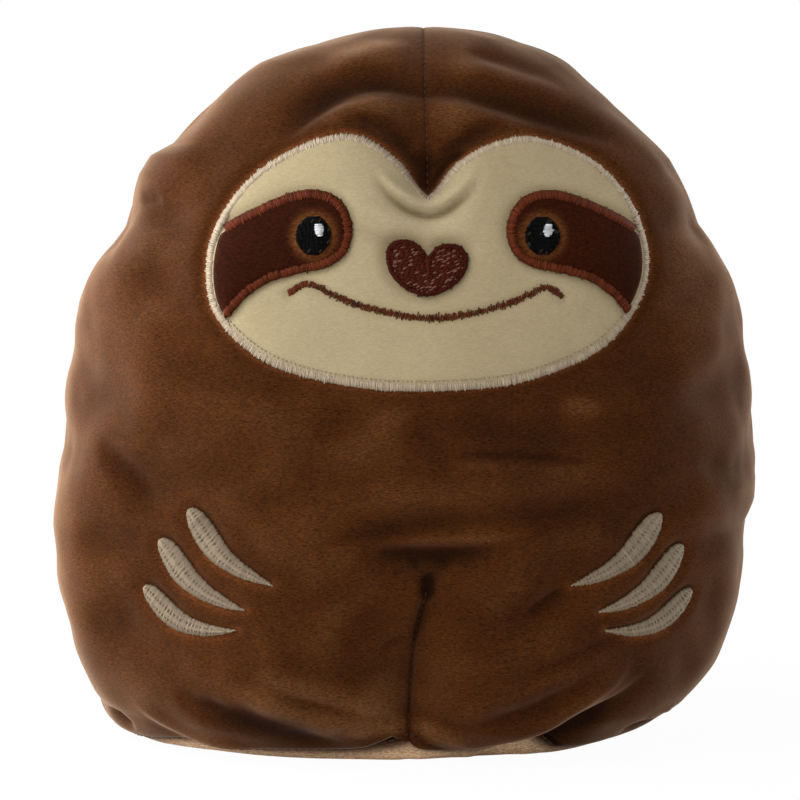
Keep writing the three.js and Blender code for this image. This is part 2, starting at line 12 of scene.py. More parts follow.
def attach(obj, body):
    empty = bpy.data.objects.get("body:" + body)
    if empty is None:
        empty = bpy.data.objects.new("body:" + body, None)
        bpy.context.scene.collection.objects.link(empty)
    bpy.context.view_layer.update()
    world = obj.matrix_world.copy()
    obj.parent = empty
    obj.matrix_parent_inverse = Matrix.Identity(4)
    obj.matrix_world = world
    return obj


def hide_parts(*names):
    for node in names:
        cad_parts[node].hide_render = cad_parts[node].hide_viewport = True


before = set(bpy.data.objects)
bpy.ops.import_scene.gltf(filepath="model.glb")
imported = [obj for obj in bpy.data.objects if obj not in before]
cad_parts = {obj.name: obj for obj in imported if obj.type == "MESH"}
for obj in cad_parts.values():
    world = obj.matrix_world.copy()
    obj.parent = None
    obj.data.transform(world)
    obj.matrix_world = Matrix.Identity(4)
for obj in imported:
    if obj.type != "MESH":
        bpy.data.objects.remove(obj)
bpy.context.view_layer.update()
chance = np.random.default_rng(11)
METRES = 0.001

# Body form, with the same sizes as the frame
BODY_HEIGHT = 250
BODY_HALF_WIDTH = 123
FRONT_DEPTH = 88
BACK_DEPTH = 88
WIDEST_HEIGHT = 86.5
REST_CUT = 0.5
CROWN_LEAN = 5
LEAN_POWER = 12
PLAN_POWER = 2.25
CROWN_POWER = 2.11
BASE_POWER = 12
LEFT_TAPER = 0.11
RIGHT_TAPER = 0.28
FRONT_TAPER = 0.16
BACK_TAPER = 0.14
NOTCH_CREASE_DEPTH = 5
NOTCH_CREASE_HALF_WIDTH = 12
NOTCH_CREASE_REACH = 18
BELLY_DART_HEIGHT = 62
BELLY_CREASE_DEPTH = 7
BELLY_CREASE_HALF_WIDTH = 14
BACK_CREASE_DEPTH = 2.5
BACK_CREASE_HALF_WIDTH = 12
BACK_CREASE_FADE = 45
THIGH_SWELL = 5
THIGH_RADIUS = 38
THIGH_SPACING = 97
THIGH_HEIGHT = 24
HEM_FADE = 12
HEM_HEIGHT = 5
PILE_CLOTH = 2.4

# How finely lines, edges and the smooth body are measured
SLOPE_STEP = 0.01
CROWN_TIP = 1
TINY = 1e-9
LOWER_STEPS = 400
UPPER_STEPS = 900
PLAN_STEPS = 6000
LINE_STEPS = 8
LEAST_STEPS = 3
OVAL_STEPS = 40
CORNER_STEPS = 48
EDGE_PITCH = 0.8
INWARD_REACH = 3  # points to each side over which an edge's direction is blended
EDGE_MARGIN = 12
CHUNK = 4000  # points that are compared with a line at a time

# The hem's height above the floor at places across the front
HEM_LINE = [(-140, 3), (-98, 3), (-88, 3.6), (-78, 4.6), (-66, 3.8), (-52, 4), (-39, 4.4), (-25, 4.8),
            (-14, 6), (-6, 8), (1, 9.6), (6, 6.6), (11.5, 4), (17, 2.8), (26, 3), (33, 4.6), (37, 6),
            (40, 6.6), (44, 5.4), (48, 3.8), (53, 2.6), (60, 2.2), (140, 3)]

# How far the two sides stand out from the smooth form at heights up the body, near their edges
LEFT_SWELLS = [(0, 3.4), (5, 1.8), (12, -1.2), (30, -0.2), (47, 1.3), (76, 2.3), (94, 1.4), (111, 0),
               (132, -0.7), (153, 1.1), (166, 0.2), (174, -2.1), (181, -3.1), (188, -2.3), (197, 1.5),
               (203, 2), (209, -1.5), (223, -0.8), (236, 0.8), (244, -0.7), (250, 0)]
RIGHT_SWELLS = [(0, -1), (12, 1.3), (30, 0.9), (46, -1.1), (60, -2.2), (76, -2.6), (84, 0), (91, 1),
                (110, 0.1), (135, 0.2), (152, 1.5), (163, 1.6), (173, -0.1), (181, -2.3), (188, -1.3),
                (202, 1.3), (209, 0.3), (222, -1), (236, 0), (244, -1.2), (250, 0)]
SWELL_START = 0.68

# Folds of the cloth: how far each stands out, how wide it is above and below, its painted shading,
# and its line across the front. The painted shading is painted shade on the pile below 0, and painted
# light on the pile above 0.
FOLDS = [
    # Wide places with painted light above 0 and painted shade below 0 on a smooth surface
    (0, 10, 10, 0.46, [(88, 190), (97, 170), (100, 156), (102, 138)]),
    (0, 7, 7, 0.2, [(-34, 240), (-3, 242), (34, 240)]),
    (0, 7, 7, 0.26, [(-34, 220), (-3, 222), (24, 220)]),
    (0, 10, 10, 0.16, [(-76, 188), (-85, 171), (-93, 148), (-100, 130)]),
    (0, 9, 9, 0.12, [(-108, 160), (-114, 140), (-118, 120)]),
    (0, 13, 13, 0.18, [(-116, 104), (-119, 80), (-117, 50), (-110, 26)]),
    (0, 8, 8, 0.25, [(-100, 36), (-94, 22), (-86, 14)]),
    (0, 12, 12, -0.3, [(-14, 120), (4, 118), (30, 114), (62, 106)]),
    (0, 8, 8, 0.35, [(-16, 34), (-8, 24), (-5, 14)]),
    (0, 15, 15, -0.5, [(56, 112), (74, 118), (94, 128)]),
    # The crown, from the valleys under the top to the creases that run into the face's notch
    (-2.6, 7, 5, -1.4, [(-47, 206), (-34, 219), (-27, 225), (-19, 229), (-8, 230.5), (4, 229.3),
                        (14, 229)]),
    (-2.6, 7, 5, -1.3, [(-6, 229), (5, 229.5), (18, 228.5), (29, 225.2), (41, 221.5), (52, 217.5),
                        (65, 212), (80, 203)]),
    (0.6, 2.5, 6, 0.4, [(-44, 208), (-34.5, 214.5), (-25, 219.5), (-13, 223), (-2, 224.5), (8, 224.5)]),
    (0.6, 2.5, 6, 0.35, [(2, 224.5), (15, 223.5), (24, 220.5), (29, 218), (38, 215.5), (49, 212)]),
    (2, 8, 6, 0.5, [(-31, 231), (-22, 236), (-13.5, 239.5), (-5, 243), (2, 245)]),
    (1.6, 7, 6, 0.35, [(11, 240.5), (22, 235), (32, 231), (44, 226.5), (52, 224), (61, 222)]),
    (-1, 4, 4, -0.35, [(17, 243), (30, 238.5), (44, 233), (56, 227)]),
    (-2.2, 3.4, 4, -1.1, [(-26, 218), (-13, 217.3), (-6, 214.2), (-0.6, 209.5), (4, 202)]),
    (-2.2, 2.8, 3.2, -1.2, [(8, 203), (12, 208), (19, 212), (26, 215.3), (36, 216)]),
    (-1.8, 1.6, 1.6, -1.1, [(7, 199), (13.4, 206), (22, 209.2)]),
    (-5, 5, 5, -1, [(6.7, 212), (6.4, 203), (6.5, 193)]),
    # The face's cloth, folded under its notch
    (2, 2, 1.8, 0.5, [(-12, 203), (-4, 194.5), (6.5, 190.4), (16, 194.5), (24, 202)]),
    (-2.4, 1.2, 2, -1.4, [(-13, 199.6), (-5.5, 192.4), (0.5, 188.9), (7, 187.6), (12.5, 189), (18, 192.6),
                          (26, 199.6)]),
    (0.8, 2, 4, 0.3, [(-18, 192), (-9, 186.5), (0, 184.5), (8, 184), (16, 185), (27, 189)]),
    (-0.8, 3, 4, -0.4, [(-22, 186), (-12, 180), (6, 177.5), (20, 178.5), (30, 184)]),
    # Across the belly
    (1, 3, 4, 0.45, [(45, 124.7), (58, 123.2), (68, 120.2)]),
    (0.8, 3, 3, 0.2, [(-18, 118), (-5, 121), (10, 122.4), (28, 123.5)]),
    (-1.2, 5, 4, -0.5, [(12, 116), (38, 114), (51, 112), (66, 111.4)]),
    (-1.2, 2, 1, -0.8, [(8, 107.4), (28, 107.6), (47, 106.1), (63, 104.7)]),
    (0.9, 1.6, 5, 0.2, [(8, 105), (28, 105), (47, 103.3), (66, 101.8)]),
    (2, 6, 4, 0.2, [(-31, 88.3), (-16, 92), (2, 94), (21, 95), (40, 96), (66, 97)]),
    (-2, 4.4, 2.6, -0.9, [(-30, 77), (-14, 82), (2, 84.8), (18, 85.8), (34, 86.8)]),
    (-1, 4, 4, -0.6, [(16, 87), (36, 88), (52, 89), (70, 91)]),
    (1, 1.4, 1, 0.35, [(-22, 75.6), (-5, 79.2), (10, 79.8), (27, 80.6), (44, 83)]),
    (-1.8, 2.4, 5, -1.5, [(-18, 76), (8, 75.6), (36, 77.4)]),
    # The pit at the top of the belly's dart, and creases beside the dart
    (-3.4, 2.4, 2.4, -2.4, [(6.5, 69.5), (6.3, 65), (6, 61), (5.6, 57)]),
    (-0.8, 2, 3, -0.5, [(-1, 75), (3, 70), (6.3, 64)]),
    (-0.8, 3, 2, -0.5, [(6.3, 64), (10, 70), (14, 75)]),
    (-0.8, 2.4, 2.4, -0.8, [(7, 64), (5.4, 56), (3, 48), (1, 40)]),
    (1, 4, 3, 1, [(-24, 13), (-11, 13), (-4, 12.5), (2, 12.5)]),
    (0.8, 4, 2.4, 0.9, [(-1, 13), (4, 12), (10, 9.5), (22, 6.5)]),
    (-1.2, 1.6, 1.6, -0.5, [(-12, 40.5), (-7, 43), (-2, 46.5)]),
    (-1.8, 2, 3, -0.8, [(36, 53), (47, 60), (54, 63)]),
    # The left thigh
    (1.6, 5, 4, 0.7, [(-66, 30), (-50, 25.8), (-39, 22), (-27.5, 18.8), (-16, 17), (-3, 15.6)]),
    (-2.2, 5, 6, -1.5, [(-76, 23), (-60, 19.5), (-46, 15), (-32, 10.5), (-18, 7)]),
    (1.2, 4, 3, 0.6, [(-56, 36.6), (-38, 31), (-22, 25), (-8, 18.5), (4, 12)]),
    (-0.8, 2.4, 2.4, -0.3, [(-46, 27.5), (-32, 24.5), (-20, 21), (-10, 17)]),
    (1.8, 4, 2, 0.5, [(-95, 20), (-87, 14), (-78, 9), (-64, 5), (-47, 4)]),
    (-1.2, 4, 3, -0.4, [(-80, 24.5), (-70, 23), (-58, 21)]),
    (-2.2, 2, 2.4, -0.8, [(-106, 13), (-101, 9), (-95, 5)]),
    # The right thigh, which laps over the corner of the base
    (-1, 1.6, 2, -0.4, [(36, 32.5), (51, 39.4), (68, 45), (80, 50)]),
    (1.2, 5, 4, 0.15, [(16, 21), (34, 27), (50, 34), (66, 41)]),
    (-1.6, 3, 3, -0.5, [(10, 14.8), (25, 16.9), (38, 22), (53, 29.7), (67, 36.3)]),
    (2.8, 6, 2.8, 0.1, [(12, 7), (22, 6.5), (30, 9.5), (38, 13.5), (47, 19), (58, 26), (68, 31.5),
                        (77, 38)]),
    (-7, 2.4, 8, -2.8, [(20, -2), (30, 2.4), (37, 5), (45, 9.5), (53, 14.5), (62, 20.5), (72, 26.5),
                        (84, 33)]),
    (-1, 3, 5, -1.4, [(38, 8), (46, 12), (53, 15.5), (60, 20), (68, 26)]),
    (-2, 1.6, 1.6, -0.8, [(40, 7.2), (46, 5), (54, 3.2)]),
    (-3, 3, 3, -0.7, [(73, 5), (80, 9), (92, 13)]),
    (1.4, 2, 1.6, 0.5, [(78, 12), (85, 13.5), (92, 16)]),
    # The flanks
    (-1.6, 4, 4, -0.6, [(-104, 112), (-100, 105.5), (-94, 98.3), (-88, 91), (-84, 86)]),
    (-1.6, 5, 5, -0.4, [(94, 101), (107, 99), (120, 95)]),
    (-1.2, 2, 2, -0.4, [(-92, 189), (-83, 191)]),
]

# The same for folds across the back
BACK_FOLDS = [
    (-3, 8, 6, -0.8, [(-96, 150), (-72, 152), (-48, 149), (-24, 152), (-3, 158)]),
    (2, 6, 8, 0.4, [(-90, 141), (-64, 143), (-38, 140), (-12, 145)]),
    (-3, 7, 6, -0.8, [(8, 168), (30, 160), (54, 158), (80, 162)]),
    (2, 6, 8, 0.4, [(10, 158), (34, 150), (60, 149)]),
    (-2.6, 7, 6, -0.7, [(-70, 92), (-44, 88), (-18, 92), (-3, 98)]),
    (-3, 7, 6, -0.8, [(4, 84), (26, 78), (52, 80), (84, 88)]),
    (-2.6, 7, 6, -0.8, [(-60, 216), (-40, 224), (-16, 226)]),
    (-2.6, 7, 6, -0.8, [(22, 226), (44, 220), (62, 210)]),
    (-3.4, 8, 6, -1, [(-92, 40), (-66, 28), (-36, 22), (-6, 14)]),
    (2, 5, 5, 0.4, [(-84, 26), (-56, 15), (-28, 10)]),
    (-3.4, 8, 6, -1, [(6, 12), (34, 20), (62, 28), (88, 42)]),
    (2, 5, 5, 0.4, [(24, 9), (50, 16), (78, 28)]),
]

FOLD_MARGIN = 3
FOLD_END_SHARE = 0.36
FOLD_END_WIDTH = 0.5
FRONT_FADE = 14

# Seams, darts and the stitches' dents
SEAM_DEPTH = 2
SEAM_ROLL = 1.3
HEM_DEPTH = 0.7
DART_FADE = 8
CROWN_FADE = 45
CROWN_SEAM_SHARE = 0.35
PUCKER_PITCH = 3.1
PUCKER_SLANT = 0.9
PUCKER_DRIFT = 7
PUCKER_WANDER = 3
PUCKER_DEPTH = 0.16
PUCKER_REACH = 3
STITCH_DENT = 1.1
STITCH_DENT_WIDTH = 2.3
CLAW_DENT = 0.9
CLAW_DENT_WIDTH = 1.7
FACE_SWELL = 1.4
FACE_SWELL_REACH = 16

# Random bumps: how many there are, the shortest and the longest of them, and how far they rise
LUMPS = (30, 35, 90, 0.5)
RIPPLES = (40, 9, 24, 0.06)
TUFTS = (40, 5, 14, 0.6)

# Painted shading on the brown pile: its limits and its painted shade in seams, wrinkles and beside claws; its
# warm edges
DARKEST_PAINTED_SHADE = -1.5
LIGHTEST_PAINTED_LIGHT = 1
SEAM_SHADE_WIDTH = 0.8
WRINKLE_SHADE = 0.35
WRINKLE_LIMIT = 0.5
CLAW_SHADE = 0.9
CLAW_SHADE_WIDTH = 1.3
CLAW_SHADE_END = 0.4
CLAW_WARMTH = 0.6
CLAW_WARMTH_WIDTH = 1.5
FACE_WARMTH = 0.8
FACE_WARMTH_WIDTH = 1.1

# The face and its embroidery: sizes, and edges as shares of half the width and height
FACE_WIDTH = 150
FACE_HEIGHT = 84
FACE_BORDER = 3.4
FACE_CENTRE = (0.053 * BODY_HALF_WIDTH, 0.684 * BODY_HEIGHT)
FACE_OUTLINE = [
    (0, 0.576), (-0.15, 0.836), (-0.353, 1), (-0.624, 0.88), (-0.851, 0.58), (-0.988, 0.129),
    (-0.967, -0.381), (-0.743, -0.769), (-0.351, -0.964), (0.027, -1), (0.449, -0.921), (0.812, -0.64),
    (0.987, -0.183), (0.965, 0.314), (0.779, 0.75), (0.504, 0.986), (0.36, 0.985), (0.14, 0.826)]
EYE_PATCH_WIDTH = 46.4
EYE_PATCH_HEIGHT = 40.6
EYE_PATCH_BORDER = 3.3
EYE_PATCH_PLACES = {"left": (-0.645, 0.08), "right": (0.652, 0.08)}
EYE_PATCH_OUTLINE = [
    (-1, 0.33), (-0.92, 0.69), (-0.73, 0.92), (-0.45, 1.01), (-0.2, 0.99), (0.11, 0.88), (0.45, 0.7),
    (0.79, 0.49), (1.1, 0.14), (1.16, -0.3), (1.06, -0.85), (0.83, -1.1), (0.54, -0.77), (0.22, -0.51),
    (-0.22, -0.35), (-0.66, -0.23), (-0.9, -0.02)]
EYE_WIDTH = 13.2
EYE_HEIGHT = 13.1
EYE_PLACES = {"left": (-0.43, 0.277), "right": (-0.475, 0.277)}
GLINT_WIDTH = 3.5
GLINT_HEIGHT = 4.5
GLINT_PLACE = (0.3, 0.3)
NOSE_WIDTH = 27.4
NOSE_HEIGHT = 19
NOSE_BORDER = 1.7
NOSE_PLACE = (-0.009, -0.033)
NOSE_OUTLINE = [
    (0.03, 0.4), (-0.1, 0.66), (-0.26, 0.88), (-0.58, 1), (-0.9, 0.82), (-1, 0.38), (-0.88, -0.24),
    (-0.54, -0.73), (0, -1), (0.56, -0.73), (0.9, -0.25), (1, 0.27), (0.86, 0.72), (0.54, 0.88),
    (0.28, 0.8), (0.14, 0.62)]
MOUTH_WIDTH = 90.6
MOUTH_HEIGHT = 11.2
MOUTH_THREAD_WIDTH = 2.6
MOUTH_PITCH = 0.62
MOUTH_RADIUS = 0.24
MOUTH_SLANT = 0.25
MOUTH_PLACE = (-0.015, -0.298)
MOUTH_LINE = [
    (-1, 0.46), (-0.87, 1), (-0.7, 0.48), (-0.48, -0.22), (-0.22, -0.72), (0.03, -1), (0.29, -0.78),
    (0.54, -0.28), (0.77, 0.4), (0.88, 0.8), (1, 0.2)]
CLAW_BULGE = [
    (0, 0), (0.02, 0.05), (0.07, 0.1), (0.17, 0.16), (0.3, 0.205), (0.45, 0.215), (0.6, 0.19),
    (0.75, 0.145), (0.88, 0.08), (1, 0)]
CLAW_HOLLOW = [
    (0, 0), (0.03, -0.045), (0.1, -0.07), (0.2, -0.06), (0.35, -0.02), (0.5, 0.018), (0.62, 0.028),
    (0.8, 0.018), (1, 0)]
CLAWS = {
    "left_upper": dict(side=-1, length=38.3, end=(-0.608, 0.352), dip=39.4, bend=0),
    "left_middle": dict(side=-1, length=37.7, end=(-0.694, 0.307), dip=35.2, bend=0),
    "left_lower": dict(side=-1, length=35.4, end=(-0.738, 0.239), dip=18.9, bend=0.04),
    "right_upper": dict(side=1, length=38.7, end=(0.693, 0.343), dip=35.5, bend=0.01),
    "right_middle": dict(side=1, length=36.9, end=(0.763, 0.296), dip=33.4, bend=0.01),
    "right_lower": dict(side=1, length=34.1, end=(0.792, 0.23), dip=17, bend=0.045)}

# Meshes of the body
FRONT_COLUMNS = 300
FRONT_ROWS = 262
BACK_COLUMNS = 96
BACK_ROWS = 150
BASE_COLUMNS = 150
BASE_DROP_ROWS = 9
BASE_FLOOR_ROWS = 26
STUFFING_COLUMNS = 110
STUFFING_ROWS = 80
DART_SHARE = 0.07  # where the columns that follow the darts stand, as a share of the half width
DART_CROWDING = 1.4
DART_CROWDING_SHARE = 0.1
DART_WARP_SHARE = 0.15
WELD = 0.002

# The cage on which pressure swells the cloth, and what holds the cloth there
CAGE_COLUMNS = 150
CAGE_ROWS = 160
CAGE_FLOOR = 1  # the height of the lowest points
CAGE_PITCH = 4.5
CAGE_NEIGHBOURS = 36
HELD_REACH = 4
FREE_DISTANCE = 36  # a distance at which no seam holds the cloth
CLOTH_FRAMES = 20
CLOTH_QUALITY = 5
STUFFING_PRESSURE = 3
CLOTH_EASE = 0.03
CLOTH_STIFFNESS = 15
CLOTH_BENDING = 0.5
PUSH_LOWEST = -1.2
PUSH_HIGHEST = 5
PUSH_BLUR = 5
WRINKLE_BLUR = 14

# The base, pale in front from painted bounce light and darker under the hem from painted shade, and the
# stuffing
HEM_TUCK = 1.5
BASE_SHADE_SHARE = 0.4
BASE_PAINTED_LIGHT_START = 0.1
BASE_PAINTED_LIGHT_FULL = 0.7
BASE_PAINTED_LIGHT_DEPTH = 52.8
STUFFING_GAP = 1.4
FIBRE_LOFT = 1.1

# Sewn-on cloth: its lifts over the body's, how it puffs up and dips, and its painted shade beside embroidery
CLOTH_PITCH = 1.3
CLOTH_GAP = 0.1
CLOTH_CLEARANCE_SHARE = 0.5
MEETING_SHARE = 1e-4
NEAR_BORDER_SHARE = 0.55
PATCH_LOW = 0.3
PATCH_TOP = 1.5
PATCH_EDGE_PITCH = 1
PATCH_TUCK = 1.36  # how far an eye patch stays inside the face's edge
FACE_PUFF = 1
FACE_PUFF_REACH = 5
FACE_DENT = 0.7
FACE_DENT_WIDTH = 2
EYE_CLOTH = 1
EYE_PUFF = 0.5
EYE_PUFF_REACH = 2.5
EYE_DENT = 0.4
EYE_DENT_WIDTH = 1.4
EYE_WARMTH = 0.7
EYE_WARMTH_WIDTH = 1.5
# Painted shade on the face's pile beside the nose, the eye patches and the mouth
FACE_SHADE = 0.6
NOSE_SHADE_WIDTH = 2.6
PATCH_SHADE_WIDTH = 1.3
MOUTH_SHADE_WIDTH = 1.6
NUDGES = 6
NUDGE_STEP = 0.1
NUDGE_MARGIN = 30

# Threads: their section, their arch, how much they vary, and where a needle has pulled them in
TUBE_SIDES = 5
TUBE_FLATNESS = 0.8
THREAD_RINGS = 7
SHORT_RINGS = 5
ARCH_POWER = 0.45
WIDTH_POWER = 0.3
THREAD_BURY = 0.5
THREAD_END_SHARE = 0.5
CREST_VARIETY = 0.05
WIDTH_VARIETY = 0.06
RAGGED = 0.12
RAGGED_ASIDE = 3  # how many times less a thread's ends stray aside than along it
HOLE_SHARE = 0.05
HOLE_LEAST = 0.2
HOLE_EVERY = 3
HOLE_DEPTH = 0.8
# Painted shade in the needle holes and at the threads' ends
HOLE_PAINTED_SHADE = 8
END_PAINTED_SHADE = 3
# Tone of the threads that get a painted glint highlight
PAINTED_GLINT_TONE = 5
PAD_SHARES = np.array([0.06, 0.2, 0.35, 0.5, 0.65, 0.8, 0.94])
PAD_CREST_SHARE = 0.72
PAD_SINK = 0.5
# Painted shade on the padding, between the threads
PAD_PAINTED_SHADE = -4

# The face's stitches: lifts are how far a thread's foot lies over the cloth, crests how far it arches
SATIN_PITCH = 0.6
SATIN_RADIUS = 0.33
BORDER_RAGGED = 0.2
SEWN_LIFT = 0.2
FACE_THREAD_LIFT = 0.5
FACE_CREST = 1.1
DASH_LENGTH = 1
DASH_GAP = 0.5
DASH_CREST = 0.3
DASH_INSET = 0.1
DASH_RAGGED = 0.1
DASH_RADIUS = 0.28
DASH_TONE = -4
DASH_TOP = 176
EYE_PATCH_CREST = 1.2
EYE_PATCH_OPEN = 2.72  # how far inside the face's edge a patch has a border
FINE_PITCH = 0.6
FINE_RADIUS = 0.32
EYE_LIFT = -0.1
EYE_CREST = 0.9
EYE_TOP_LIFT = 0.7
EYE_TOP_CREST = 0.3
EYE_TOP_RAGGED = 0.05
EYE_TURN = 50
EYE_STITCH = 2
EYE_PAINTED_GLINTS = 0.07
SHORTEST_SHARE = 0.25
GLINT_LIFT = 1.1
GLINT_CREST = 0.6
GLINT_RAGGED = 0.3
NOSE_GROUND = 0.5
# Painted shade on the nose's ground, between its stitches
NOSE_GROUND_PAINTED_SHADE = -1.6
NOSE_INSET_SHARE = 0.7
NOSE_STITCH = 1.9
NOSE_PITCH = 0.48
NOSE_RADIUS = 0.25
NOSE_CREST = 0.35
NOSE_RAGGED = 0.3
NOSE_TURN = 24
NOSE_PAINTED_GLINTS = 0.2
NOSE_BORDER_CREST = 1
TUCK_LENGTH = 5.5
TUCK_WIDTH = 2.6
TUCK_END_WIDTH = TUCK_WIDTH / 3
TUCK_STITCHES = 11
TUCK_LIFT = 1.1
TUCK_CREST = 0.4
TUCK_TONE = 1.5
MOUTH_LIFT = -0.1
MOUTH_CREST = 0.6
MOUTH_LEFT_RAGGED = 0.1
MOUTH_RAGGED = 0.35
MOUTH_TONE = -1
MOUTH_TOP_RAGGED = 0.2
MOUTH_TOP_TONE = -2

# The claws' stitches
CLAW_PITCH = 0.46
CLAW_RADIUS = 0.27
CLAW_LIFT = 0.3
CLAW_CREST = 0.8
CLAW_RINGS = 19
CLAW_HOLES = (0.34, 0.67)
CLAW_TONE = 0.6

# The stiff backings
BACKING_MARGIN = 5
BACKING_PITCH = 3
BACKING_LOW = -3.5
BACKING_HIGH = -2.7
FACE_BACKING_CORNER = 36
CLAW_BACKING_SIZE = 62
CLAW_BACKING_CORNER = 12

# The seams' stitches
SEAM_STITCH = 2.8
SEAM_STITCH_GAP = 0.5
SEAM_RADIUS = 0.4
SEAM_LIFT = -0.1
SEAM_CREST = 0.35
SEAM_CROWN_CLEARANCE = 12
SEAM_HEM_CLEARANCE = 1
SEAM_POINTS = 500
BELLY_SEAM_POINTS = 120
HEM_SEAM_POINTS = 400

# Grains of the materials: size in millimetres, detail, roughness and stretch
BLOTCHES = (26, 3, 0.5, (1, 1, 1))
GRAIN = (0.45, 3, 0.7, (0.35, 0.35, 1.2))
STREAKS = (1.6, 3, 0.6, (0.5, 0.5, 1))
STRANDS = (0.3, 2, 0.6, (1, 1, 1))
STREAK_DEPTH = 0.3
GRAIN_DEPTH = 0.2
STRAND_DEPTH = 0.12
SHEEN_ROUGHNESS = 0.25
BROWN_SHEEN = (1, 0.8, 0.62, 1)
CREAM_SHEEN = (1, 0.93, 0.8, 1)
# Power of the painted sheen on the velours' rims
PAINTED_SHEEN_POWER = 2.9
WHITE = (1, 1, 1, 1)

# Colours are red, green and blue as shown, from 0 to 255
# Colour of the painted bounce light from the floor on the front of the base
BASE_PAINTED_BOUNCE_LIGHT = (240, 202, 162)
# In each velour, shadow is the colour of painted shade, glow that of painted light, and rim that of a painted
# sheen
VELOURS = {
    "pile_brown": dict(
        name="brown pile", dark=(50, 22, 5), light=(72, 38, 13), warm=(112, 62, 30), shadow=(22, 7, 1),
        glow=(124, 84, 50), rim=(206, 168, 136), painted_sheen_share=0.34, sheen=0.2, sheen_tint=BROWN_SHEEN,
        grain_contrast=0.65),
    "pile_cream": dict(
        name="cream pile", dark=(160, 145, 112), light=(172, 156, 123), warm=(186, 160, 120),
        shadow=(104, 86, 58), glow=(205, 190, 158), rim=(214, 200, 170), painted_sheen_share=0.3, sheen=0.1,
        sheen_tint=CREAM_SHEEN, grain_contrast=0.13),
    "pile_dark": dict(
        name="dark pile", dark=(34, 9, 1), light=(49, 16, 3), warm=(108, 62, 30), shadow=(20, 6, 2),
        glow=(90, 50, 26), rim=(150, 110, 90), painted_sheen_share=0.15, sheen=0.03, sheen_tint=BROWN_SHEEN,
        grain_contrast=0.75)}
# Each thread's glint is the colour of its painted glint highlights
THREADS = {
    "thread_cream": dict(name="cream thread", colour=(174, 157, 134), glint=(198, 182, 163), spread=0.09),
    "thread_red_brown": dict(name="red brown thread", colour=(94, 42, 22), glint=(120, 76, 56), spread=0.2,
                             specular=0.05),
    "thread_black": dict(name="black thread", colour=(6, 5, 5), glint=(46, 40, 33), spread=0.2,
                         roughness=0.8, specular=0.06),
    "thread_white": dict(name="white thread", colour=(200, 200, 203), glint=(214, 214, 217), spread=0.08),
    "thread_nose": dict(name="nose thread", colour=(74, 29, 17), glint=(116, 80, 70), spread=0.14,
                        specular=0.05),
    "thread_nose_edge": dict(name="nose edge thread", colour=(62, 19, 9), glint=(92, 52, 38), spread=0.2,
                             specular=0.05),
    "thread_claw": dict(name="claw thread", colour=(144, 128, 106), glint=(172, 156, 134), spread=0.12),
    "sewing_thread": dict(name="sewing thread", colour=(48, 24, 12), glint=(70, 40, 24), spread=0.12)}
FIBRES = {
    "backing": dict(name="backing felt", colour=(232, 232, 228), size=1.2, depth=0.15),
    "stuffing": dict(name="stuffing fibre", colour=(242, 240, 234), size=3.5, depth=1.2)}

# Camera, lamps and floor, in metres and watts; a lamp has its place, its size and its power
CAMERA_PLACE = (-0.00315, -1.29288, 0.25309)
CAMERA_TARGET = (-0.00315, 0, 0.1172)
CAMERA_LENS = 164.3
CAMERA_SENSOR = 36
BODY_MIDDLE = (0, 0, 0.12)
LAMPS = {
    "key": ((-1.0, -0.85, 1.7), 1.3, 28),
    "fill": ((1.2, -1.2, 0.6), 1.4, 4.5),
    "low": ((-0.8, -1.15, 0.12), 1.0, 5),
    "left_edge": ((-1.3, 0.3, 0.45), 1.2, 44),
    "right_edge": ((1.2, 0.75, 0.5), 1.2, 16)}
FLOOR_SIZE = 12.0
FLOOR_COLOUR = (235, 235, 235)
FLOOR_WHITE = 0.97
SHADOW_REACH = 0.6
ROOM_LIGHT = 0.14


def smoothstep(value, low, high):
    share = np.clip((value - low) / (high - low), 0, 1)
    return share * share * (3 - 2 * share)


def falloff(distance, half_width):
    return np.exp(-(distance / half_width) ** 2)


def unit(directions):
    """The same directions with a length of one."""
    return directions / np.maximum(np.linalg.norm(directions, axis=-1, keepdims=True), TINY)


def left_of(directions):
    return np.stack([-directions[:, 1], directions[:, 0]], -1)


def run_along(line):
    """How far along a line each of its points lies."""
    return np.concatenate([[0], np.cumsum(np.linalg.norm(np.diff(line, axis=0), axis=1))])


def line_value(at, line):
    """The second value of a line of pairs, read between them at a first value."""
    places, values = zip(*line)
    return np.interp(at, places, values)


def girth(height, taper):
    """Girth at a height, as a share of the widest girth."""
    rise = np.clip((height - WIDEST_HEIGHT) / (BODY_HEIGHT - WIDEST_HEIGHT), 0, 1)
    drop = np.clip((WIDEST_HEIGHT - height) / (WIDEST_HEIGHT + REST_CUT), 0, 1)
    crown = (1 - rise ** CROWN_POWER) ** (1 / CROWN_POWER)
    base = (1 - taper * drop ** 2) * (1 - drop ** BASE_POWER) ** (1 / BASE_POWER)
    return np.where(height >= WIDEST_HEIGHT, crown, base)


def half_width(height, across):
    return BODY_HALF_WIDTH * girth(height, np.where(across < 0, LEFT_TAPER, RIGHT_TAPER))


def half_depth(height, deep):
    return np.where(deep < 0, FRONT_DEPTH, BACK_DEPTH) * girth(
        height, np.where(deep < 0, FRONT_TAPER, BACK_TAPER))


def lean(height):
    """How far the body's middle leans aside near its top."""
    rise = np.clip((height - WIDEST_HEIGHT) / (BODY_HEIGHT - WIDEST_HEIGHT), 0, 1)
    return CROWN_LEAN * rise ** LEAN_POWER


def body_points(across, front, height):
    """Points of the smooth body; across is the share of the half width, from -1 to 1."""
    deep = (1 - np.clip(np.abs(across), 0, 1) ** PLAN_POWER) ** (1 / PLAN_POWER)
    side = -1 if front else 1
    x = across * half_width(height, across) + lean(height)
    y = side * deep * half_depth(height, side)
    return np.stack([x, y, height + 0 * across], -1)


def front_points(x, z):
    """Points of the smooth body's front that have these places."""
    return body_points((x - lean(z)) / half_width(z, x - lean(z)), True, z)


